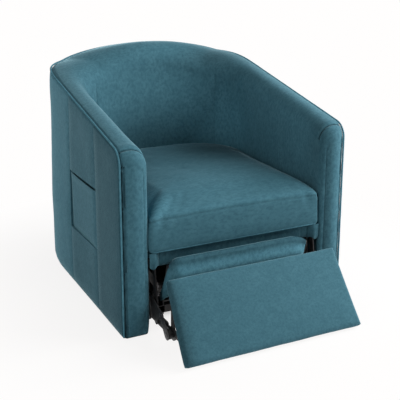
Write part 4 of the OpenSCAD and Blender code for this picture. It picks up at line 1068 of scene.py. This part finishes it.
def make_welt(cushion, shape, seat, z):
    """Welt round the cushion's lower edge, laid on its swollen side"""
    count, outside, sunk = 420, 0.08, 0.35
    angles = np.linspace(-math.pi, math.pi, 361)[:-1]
    radius, middle = cushion_radius(shape, seat, angles)
    dense = np.column_stack([radius * np.cos(angles), radius * np.sin(angles) + middle + FRONT_Y])
    loop = np.vstack([dense, dense[:1]])
    along = np.concatenate([[0], np.cumsum(np.linalg.norm(np.diff(loop, axis=0), axis=1))])
    even = np.linspace(0, along[-1], count)[:-1]
    path = np.column_stack([np.interp(even, along, loop[:, n]) for n in (0, 1)] + [np.full(len(even), z)])
    tree = BVHTree.FromPolygons([v.co for v in cushion.data.vertices], [p.vertices for p in cushion.data.polygons])
    placed = []
    centre = Vector((0, middle + FRONT_Y, z))
    for point in path:
        way = (centre - Vector(point)).normalized()
        hit = tree.ray_cast(Vector(point) - outside * way, way)[0]
        placed.append(hit + way * sunk * seat.welt if hit else Vector(point))
    piece = tube("cushion_welt", np.array(placed), seat.welt / 2, sides=10, closed=True)
    finish(piece, "carriage", "fabric", highlit_piping_microfibre())


def make_rail():
    """Padded rail under the cushion, with a seam near each end and a shallow wing of cloth out to each arm"""
    tub, _, seat, _ = settings()
    low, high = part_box("seat_rail_pad")
    reach = HALF_WIDTH - tub.arm_thickness - seat.rail_gap
    seam_in, step, deep, tall = 0.028, 0.006, 4, 12
    seams = (low.x, high.x, low.x + seam_in, high.x - seam_in)
    stations = spaced(-reach, reach, step, seams, (0.0, 0.0015, 0.0035))
    piece, i, j, l = block("rail_cover", len(stations) - 1, deep, tall)
    x, v, w = stations[i], j / deep, l / tall
    wing_play, sag_reach = 0.0005, 0.06
    wing = np.abs(x) > high.x + wing_play
    bottom = np.where(wing, low.z + seat.wing_rise, low.z) - seat.rail_sag * bell(x - low.x, sag_reach) * ~wing
    points = np.column_stack([x, low.y + (high.y - low.y) * v, bottom + (high.z - bottom) * w])
    flat_share = 0.62
    rounding = np.maximum(0, np.abs(2 * w - 1) - flat_share) / (1 - flat_share)
    points[:, 1] += np.where(j == 0, seat.rail_round * rounding ** 2, 0)
    points[:, 1] += np.where(wing & (j < deep), seat.wing_inset, 0)
    place_points(piece, points)
    face_out(piece)
    seam = np.where(j == 0, np.minimum(np.abs(x - low.x - seam_in), np.abs(x - high.x + seam_in)), NOT_NEAR)
    wave_height, wave_rate, wave_start, seam_depth, seam_half = 0.0012, 41, 0.6, 0.0016, 0.0035
    waves = wave_height * np.sin(points[:, 0] * wave_rate + wave_start) * (1 - w) + slack_of("rail", points)
    push(piece, groove(seam, seam_depth, seam_half) + np.where(j == 0, waves, 0))
    paint_shading(piece, shaded_below(w))
    finish(piece, "carriage", "fabric", microfibre(), replaces=("seat_rail_pad",), fill=1.0)


def shaded_below(height):
    """Painted shade on the rail and its drapes, darker towards their lower edge"""
    return -0.10 - 0.22 * (1 - height)


def make_drapes():
    """Loose cloth that hangs from the rail's ends over the links"""
    tub, _, seat, _ = settings()
    low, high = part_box("seat_rail_pad")
    side_play = 0.0003
    reach = HALF_WIDTH - tub.arm_thickness - seat.rail_gap - side_play
    wide, deep, tall, overlap = 20, 2, 18, 0.004
    proud, fold_height, hem_wave, top_gap = 0.001, 0.0016, 0.004, 0.0006
    for side, hand in ((-1, "left"), (1, "right")):
        piece, i, j, l = block("rail_drape_" + hand, wide, deep, tall)
        u, v, w = i / wide, j / deep, l / tall
        x = reach - (reach - high.x + overlap) * u
        out = FRONT_Y - proud + (low.y - FRONT_Y) * ramp(u, 0.45, 0.55) ** 2
        fold = fold_height * np.sin(9 * u + 2.2 * w) * (1 - w) * np.sin(math.pi * u)
        bottom = low.z + hem_wave * np.cos(7 * u + 0.8)
        z = bottom + (high.z - top_gap - bottom) * w
        place_points(piece, np.column_stack([side * x, out + fold + seat.drape_cloth * v, z]))
        face_out(piece)
        paint_shading(piece, shaded_below(w))
        finish(piece, "carriage", "fabric", microfibre(), smooth=80)
        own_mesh(piece)


def panel_frame():
    """Middle of the footrest panel's face, its way down the slope and its way inwards"""
    seat = bpy.context.scene.seat_sizes
    low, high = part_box("footrest_board")
    down = Vector((0, -math.sin(seat.panel_tilt), -math.cos(seat.panel_tilt)))
    inward = Vector((0, math.cos(seat.panel_tilt), -math.sin(seat.panel_tilt)))
    board_length = seat.panel_length - 2 * seat.board_margin
    board_thickness = (high.y - low.y - board_length * math.sin(seat.panel_tilt)) / math.cos(seat.panel_tilt)
    middle = (low + high) / 2 - inward * (seat.panel_thickness - board_thickness / 2)
    return middle, down, inward


def make_footrest():
    """Footrest panel: a board wrapped in foam and cloth, with a crowned face, round edges and soft corners"""
    _, _, seat, _ = settings()
    low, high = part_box("footrest_pad")
    middle, down, inward = panel_frame()
    wide, deep, tall = 110, 8, 60
    piece, i, j, l = block("footrest_cover", wide, deep, tall)
    a, s = (0.4 * t + 0.6 * np.sin(t * math.pi / 2) for t in (2 * i / wide - 1, 2 * l / tall - 1))
    half = (high.x - low.x - seat.panel_taper * s) / 2
    d = j / deep
    folded = seat.panel_fold * d
    x, y = a * (half - folded), s * (seat.panel_length / 2 - folded)
    r = seat.panel_corner
    past = np.column_stack([np.maximum(np.abs(x) - half + r, 0),
                            np.maximum(np.abs(y) - seat.panel_length / 2 + r, 0)])
    far = np.linalg.norm(past, axis=1)
    pull = np.where(far > r, 1 - r / np.maximum(far, 1e-9), 0)
    x -= np.sign(x) * past[:, 0] * pull
    y -= np.sign(y) * past[:, 1] * pull
    edge = np.minimum(half - np.abs(x), seat.panel_length / 2 - np.abs(y))
    round_over = seat.panel_round
    inset = np.clip(1 - edge / round_over, 0, 1)
    face = round_over * (1 - np.sqrt(1 - inset ** 2))
    crown = seat.panel_crown * (1 - np.abs(a) ** 3.2) * (1 - np.abs(s) ** 2.6)
    sunk = 0.004
    rim_depth = round_over + sunk
    depth = np.where(j == 0, face - crown + sunk, rim_depth + (seat.panel_thickness - rim_depth) * d)
    places = [middle + Vector((u, 0, 0)) + down * -v + inward * h for u, v, h in zip(x, y, depth)]
    place_points(piece, places)
    face_out(piece)
    points = points_of(piece)
    slack_depth, shade_width = 0.6, 0.03
    push(piece, np.where(d < slack_depth, slack_of("footrest", points), 0))
    # Painted shade along the panel's left edge, and a little over all of it
    paint_shading(piece, -0.05 - 0.40 * bell(points[:, 0] - low.x, shade_width))
    subdivided(piece)
    finish(piece, "footrest_panel", "fabric", microfibre("Footrest microfibre", patch=30.0, contrast=0.32),
           replaces=("footrest_pad",), fill=1.0)


def make_flap():
    """Inner pad of the footrest: a long roll, thin at its top edge and fat below"""
    _, _, seat, _ = settings()
    low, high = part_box("flap_pad")
    top = np.array([low.y + seat.flap_top, high.z - seat.flap_top])
    bottom = np.array([high.y - seat.flap_low, low.z + seat.flap_low])
    reach = np.linalg.norm(bottom - top)
    way = (bottom - top) / reach
    out = np.array([way[1], -way[0]])
    cells, deep, tall = 110, 6, 20
    piece, i, j, l = block("flap_cover", cells, deep, tall)
    u, v, w = i / cells, j / deep, l / tall
    span = -seat.flap_top + (reach + seat.flap_top + seat.flap_low) * (1 - w)
    radius = seat.flap_top + (seat.flap_low - seat.flap_top) * np.clip(span / reach, 0, 1)
    over = np.where(span < 0, span / seat.flap_top, np.where(span > reach, (span - reach) / seat.flap_low, 0))
    end = np.minimum(u, 1 - u) * (high.x - low.x)
    right = u > 0.5
    ease = np.where(right, seat.flap_end_right, seat.flap_end_left)
    fill_share, end_share = 0.98, 0.45
    thick = radius * np.sqrt(np.clip(1 - over ** 2, 0, 1)) * fill_share
    thick *= end_share + (1 - end_share) * np.sqrt(np.clip(end / ease, 0, 1))
    bulge_at, bulge_reach, bulge_start, bulge_rise = 0.042, 0.032, -0.004, 0.03
    fuller = seat.flap_bulge * bell(span - bulge_at, bulge_reach) * np.clip(end / bulge_rise, 0, 1) ** 0.5
    fuller *= ramp(span, bulge_start, bulge_rise)
    face = (1 - 2 * v) * thick + (1 - v) * fuller
    flat = top[None, :] + way[None, :] * span[:, None] + out[None, :] * face[:, None]
    points = np.column_stack([low.x + (high.x - low.x) * u, flat])
    drop_right, drop_left = 0.022, 0.012
    points[:, 2] -= np.where(right, drop_right, drop_left) * (1 - np.clip(end / (1.3 * ease), 0, 1)) ** 2 * w

    # Loose cloth hangs out at the left end
    hang_share, hang_height, forward, lower = 0.075, 0.75, 0.008, 0.016
    crumple, crumple_size, crumple_stretch = 0.0028, 0.018, (1, 0.3, 0.3)
    hang = (1 - np.clip(u / hang_share, 0, 1)) ** 1.3 * np.clip((1 - w) / hang_height, 0, 1) ** 0.8
    points += np.column_stack([-seat.flap_wing * hang, -forward * hang, -lower * hang * (1 - w)])
    place_points(piece, points)
    face_out(piece)
    points = points_of(piece)
    slack = slack_of("flap", points) + crumple * ripple(points * crumple_stretch, crumple_size, 3.0) * hang
    drawn_in, drawn_all, slack_start, slack_span = 0.0012, 0.0016, -0.016, 0.03
    push(piece, (slack - drawn_in) * ramp(span, slack_start, slack_span) - drawn_all)

    # Its top stays clear of the cushion when the footrest is fully open
    points = points_of(piece)
    points[:, 2] = np.minimum(points[:, 2], high.z - seat.flap_clearance)
    place_points(piece, points)
    # Painted light over the pad, with painted shade along its top edge and at its ends
    paint_shading(piece, 0.45 - 0.75 * bell(span + seat.flap_top, 0.016) - 0.3 * bell(end, 0.02))
    subdivided(piece)
    finish(piece, "flap", "fabric", microfibre("Flap microfibre", sheen=0.35), smooth=80,
           replaces=("flap_pad",), fill=0.9)


def disc(name, place, radius, thick, sides=40):
    """Round plate that stands across the chair"""
    bpy.ops.object.select_all(action="DESELECT")
    bpy.ops.mesh.primitive_cylinder_add(vertices=sides, radius=radius, depth=thick, location=place,
                                        rotation=(0, math.pi / 2, 0))
    piece = bpy.context.object
    piece.name = piece.data.name = name
    bpy.ops.object.transform_apply(location=True, rotation=True, scale=True)
    return piece


def joined(name, pieces):
    bpy.ops.object.select_all(action="DESELECT")
    for piece in pieces:
        piece.select_set(True)
    bpy.context.view_layer.objects.active = pieces[0]
    if len(pieces) > 1:
        bpy.ops.object.join()
    pieces[0].name = pieces[0].data.name = name
    return pieces[0]


def link_plate(name, x, thick, ends):
    """Flat plate with round ends, stretched over discs of the given places and radii"""
    piece = joined(name, [disc(name, (x, FRONT_Y + y, z), radius, thick) for y, z, radius in ends])
    edit(piece, (bpy.ops.mesh.convex_hull, {}))
    return rounded(piece, 0.0005)


def rounded(piece, width, segments=2):
    edge = piece.modifiers.new("Edge", "BEVEL")
    edge.width = width
    edge.segments = segments
    edge.limit_method = "ANGLE"
    apply_modifiers(piece)
    return piece


def rivet_head(name, x, place, radius):
    y, z = place
    return rounded(disc(name, (x, FRONT_Y + y, z), radius, RIVET_HEIGHT, 24), 0.001, 3)


def make_gussets():
    """Riveted outer plates of the footrest's carriers: a toe plate round the foot pivot and a web over it"""
    _, _, seat, _ = settings()
    thick, head_in = seat.gusset_thickness, 0.6 * seat.gusset_thickness
    foot, crossing, upper, heel = (-0.103, 0.045), (-0.064, 0.086), (0.024, 0.116), (0.006, 0.060)
    toe_rivets = ((foot, 0.007), ((-0.069, 0.093), 0.0042), ((-0.057, 0.078), 0.0042))
    web_rivets = ((upper, 0.005), (heel, 0.0045))
    bush_radius, bush_length, bush_in = 0.0155, 0.0102, 0.005
    for side, hand in ((-1, "left"), (1, "right")):
        inner = side * (seat.gusset_place + thick / 2)
        outer = inner + side * thick
        name = "carrier_gusset_" + hand
        web = link_plate(name, inner, thick, ((*crossing, 0.012), (*upper, 0.009), (*heel, 0.010)))
        toe = link_plate(name, outer, thick, ((*foot, 0.017), (*crossing, 0.0125)))
        bush_place = (side * (seat.gusset_place - bush_in), FRONT_Y + foot[0], foot[1])
        parts = [web, toe, rounded(disc(name, bush_place, bush_radius, bush_length), 0.001)]
        parts += [rivet_head(name, outer + side * head_in, *rivet) for rivet in toe_rivets]
        parts += [rivet_head(name, inner + side * head_in, *rivet) for rivet in web_rivets]
        finish(joined(name, parts), "carrier_" + hand, "black_steel", painted_steel())


NODE_FINISHES = {"black_steel": painted_steel, "zinc_steel": zinc, "plywood": plywood, "webbing": webbing,
                 "black_plastic": moulded_plastic, "button_plastic": button_plastic}


def dress_nodes(*slots):
    """Gives the frame's own solids of these material slots their finish"""
    for part in frame["record"]["subparts"]:
        if part["material_slot"] in slots:
            material = NODE_FINISHES[part["material_slot"]]()
            for holder in frame["nodes"][part["node"]].material_slots:
                holder.material = material


def studio_white(tree, plain, target, mask=1.0):
    """Mixes a plain surface or sky with white, for camera and glossy rays, by a mask"""
    white = (1.0, 0.99, 0.985, 1.0)
    kind = "ShaderNodeEmission" if target.bl_idname == "ShaderNodeOutputMaterial" else "ShaderNodeBackground"
    glow = add_node(tree, kind, {"Color": white, "Strength": 1.0})
    rays = add_node(tree, "ShaderNodeLightPath").outputs
    seen = math_node(tree, "MAXIMUM", rays["Is Camera Ray"],
                     math_node(tree, "MAXIMUM", rays["Is Glossy Ray"], rays["Is Transmission Ray"]))
    blend = add_node(tree, "ShaderNodeMixShader", {0: math_node(tree, "MULTIPLY", seen, mask), 1: plain,
                                                   2: glow.outputs[0]})
    tree.links.new(blend.outputs[0], target.inputs["Surface"])


def make_floor():
    """Floor that is white all round, lets the chair's shadow show close to it, and has painted shade in its colour
    under the chair
    """
    colors = bpy.context.scene.chair_colors
    bpy.ops.object.select_all(action="DESELECT")
    bpy.ops.mesh.primitive_plane_add(size=60, location=(0, 0, 0))
    floor = bpy.context.object
    floor.name = "studio_floor"
    material = bpy.data.materials.new("Studio floor")
    material.use_nodes = True
    tree = material.node_tree
    shader = tree.nodes["Principled BSDF"]
    shader.inputs["Roughness"].default_value = 0.9
    here = add_node(tree, "ShaderNodeNewGeometry").outputs["Position"]
    place = add_node(tree, "ShaderNodeSeparateXYZ", {"Vector": here}).outputs
    offsets = (place[0], math_node(tree, "SUBTRACT", place[1], (FRONT_Y + BACK[1].y) / 2))
    inset, beyond = 0.2, []
    for offset, size in zip(offsets, (HALF_WIDTH, DEPTH / 2)):
        past = math_node(tree, "SUBTRACT", math_node(tree, "ABSOLUTE", offset), size - inset)
        beyond.append(math_node(tree, "MAXIMUM", past, 0.0))
    away = math_node(tree, "SQRT", math_node(tree, "ADD", *[math_node(tree, "MULTIPLY", b, b) for b in beyond]))
    mask = math_node(tree, "ADD", fit_range(tree, away, 0.0, 0.12, 0.0, 0.85),
                     fit_range(tree, away, 0.2, 0.8, 0.0, 0.15))
    # Painted shade: the floor's colour is darkened under the chair
    shaded = fit_range(tree, away, 0.0, 0.05, 0.25, 1.0)
    tree.links.new(mix_color(tree, shaded, (0.1, 0.1, 0.1, 1), opaque(colors.floor)), shader.inputs["Base Color"])
    studio_white(tree, shader.outputs[0], tree.nodes["Material Output"], mask)
    floor.data.materials.append(material)


def make_sky():
    world = bpy.data.worlds.new("Studio")
    bpy.context.scene.world = world
    world.use_nodes = True
    tree = world.node_tree
    soft = tree.nodes["Background"]
    soft.inputs["Color"].default_value = (0.93, 0.97, 1.0, 1.0)
    soft.inputs["Strength"].default_value = 0.10
    studio_white(tree, soft.outputs[0], tree.nodes["World Output"])


def make_lamps():
    for name, place, size, power in LAMPS:
        data = bpy.data.lights.new(name, "AREA")
        data.shape = "DISK"
        data.size = size
        data.energy = power
        lamp = bpy.data.objects.new(name, data)
        bpy.context.collection.objects.link(lamp)
        lamp.location = place
        aim = Vector(LAMP_TARGET) - Vector(place)
        lamp.rotation_euler = aim.to_track_quat("-Z", "Y").to_euler()
    bpy.context.scene.view_settings.view_transform = "Standard"


def make_camera():
    data = bpy.data.cameras.new("photo_camera")
    camera = bpy.data.objects.new("photo_camera", data)
    bpy.context.collection.objects.link(camera)
    camera.location = CAMERA_PLACE
    camera.rotation_euler = (math.radians(CAMERA_PITCH), 0, math.radians(CAMERA_TURN))
    data.sensor_width = CAMERA_SENSOR
    data.lens = CAMERA_LENS
    data.shift_y = CAMERA_SHIFT
    bpy.context.scene.camera = camera


class CHAIR_OT_camera(bpy.types.Operator):
    """Sets the camera at the photographed angle"""
    bl_idname = "chair.camera"
    bl_label = "Camera"
    bl_options = {"REGISTER", "UNDO"}

    def execute(self, context):
        make_camera()
        return {"FINISHED"}


class CHAIR_OT_tub(bpy.types.Operator):
    """Makes the upholstered tub"""
    bl_idname = "chair.tub"
    bl_label = "Tub"
    bl_options = {"REGISTER", "UNDO"}

    def execute(self, context):
        make_tub()
        return {"FINISHED"}


class CHAIR_OT_piping(bpy.types.Operator):
    """Lays the piping along the tub's edge"""
    bl_idname = "chair.piping"
    bl_label = "Piping"
    bl_options = {"REGISTER", "UNDO"}

    def execute(self, context):
        make_piping()
        return {"FINISHED"}


class CHAIR_OT_pocket(bpy.types.Operator):
    """Makes the side pocket's cloth"""
    bl_idname = "chair.pocket"
    bl_label = "Side Pocket"
    bl_options = {"REGISTER", "UNDO"}

    def execute(self, context):
        make_pocket()
        return {"FINISHED"}


class CHAIR_OT_cushion(bpy.types.Operator):
    """Makes the stuffed seat cushion and its welt"""
    bl_idname = "chair.cushion"
    bl_label = "Seat Cushion"
    bl_options = {"REGISTER", "UNDO"}

    def execute(self, context):
        make_cushion()
        return {"FINISHED"}


class CHAIR_OT_rail(bpy.types.Operator):
    """Makes the padded rail under the cushion and its drapes"""
    bl_idname = "chair.rail"
    bl_label = "Seat Rail"
    bl_options = {"REGISTER", "UNDO"}

    def execute(self, context):
        make_rail()
        make_drapes()
        return {"FINISHED"}


class CHAIR_OT_footrest(bpy.types.Operator):
    """Makes the footrest panel's cover"""
    bl_idname = "chair.footrest"
    bl_label = "Footrest"
    bl_options = {"REGISTER", "UNDO"}

    def execute(self, context):
        make_footrest()
        return {"FINISHED"}


class CHAIR_OT_flap(bpy.types.Operator):
    """Makes the footrest's inner pad"""
    bl_idname = "chair.flap"
    bl_label = "Footrest Flap"
    bl_options = {"REGISTER", "UNDO"}

    def execute(self, context):
        make_flap()
        return {"FINISHED"}


class CHAIR_OT_gussets(bpy.types.Operator):
    """Makes the riveted outer plates of the footrest's carriers"""
    bl_idname = "chair.gussets"
    bl_label = "Carrier Gussets"
    bl_options = {"REGISTER", "UNDO"}

    def execute(self, context):
        make_gussets()
        return {"FINISHED"}


class CHAIR_OT_metal(bpy.types.Operator):
    """Finishes the steel frame, linkage, pins and rivets"""
    bl_idname = "chair.metal"
    bl_label = "Metal"
    bl_options = {"REGISTER", "UNDO"}

    def execute(self, context):
        dress_nodes("black_steel", "zinc_steel")
        return {"FINISHED"}


class CHAIR_OT_inside(bpy.types.Operator):
    """Finishes the wood, webbing and plastic parts"""
    bl_idname = "chair.inside"
    bl_label = "Inside"
    bl_options = {"REGISTER", "UNDO"}

    def execute(self, context):
        dress_nodes("plywood", "webbing", "black_plastic", "button_plastic")
        return {"FINISHED"}


class CHAIR_OT_stage(bpy.types.Operator):
    """Makes the floor, lights and background"""
    bl_idname = "chair.stage"
    bl_label = "Studio"
    bl_options = {"REGISTER", "UNDO"}

    def execute(self, context):
        make_floor()
        make_sky()
        make_lamps()
        return {"FINISHED"}


OPERATORS = (CHAIR_OT_camera, CHAIR_OT_tub, CHAIR_OT_piping, CHAIR_OT_pocket, CHAIR_OT_cushion, CHAIR_OT_rail,
             CHAIR_OT_footrest, CHAIR_OT_flap, CHAIR_OT_gussets, CHAIR_OT_metal, CHAIR_OT_inside, CHAIR_OT_stage)


class CHAIR_PT_panel(bpy.types.Panel):
    """Lists the chair's pieces and sizes"""
    bl_label = "Recliner"
    bl_idname = "CHAIR_PT_panel"
    bl_space_type = "VIEW_3D"
    bl_region_type = "UI"
    bl_category = "Recliner"

    def draw(self, context):
        for operator in OPERATORS:
            self.layout.operator(operator.bl_idname)
        for holder in ("tub_sizes", "pocket_sizes", "seat_sizes", "chair_colors"):
            group = getattr(context.scene, holder)
            box = self.layout.box()
            for name in group.bl_rna.properties.keys():
                if name not in ("rna_type", "name"):
                    box.prop(group, name)


SETTINGS = {"tub_sizes": TubSizes, "pocket_sizes": PocketSizes, "seat_sizes": SeatSizes,
            "chair_colors": ChairColors}


def register():
    for kind in (*SETTINGS.values(), *OPERATORS, CHAIR_PT_panel):
        bpy.utils.register_class(kind)
    for name, kind in SETTINGS.items():
        setattr(bpy.types.Scene, name, bpy.props.PointerProperty(type=kind))


def unregister():
    for name in SETTINGS:
        delattr(bpy.types.Scene, name)
    for kind in reversed((*SETTINGS.values(), *OPERATORS, CHAIR_PT_panel)):
        bpy.utils.unregister_class(kind)


def main():
    register()
    for operator in OPERATORS:
        getattr(bpy.ops.chair, operator.bl_idname.split(".")[1])()


if __name__ == "__main__":
    main()
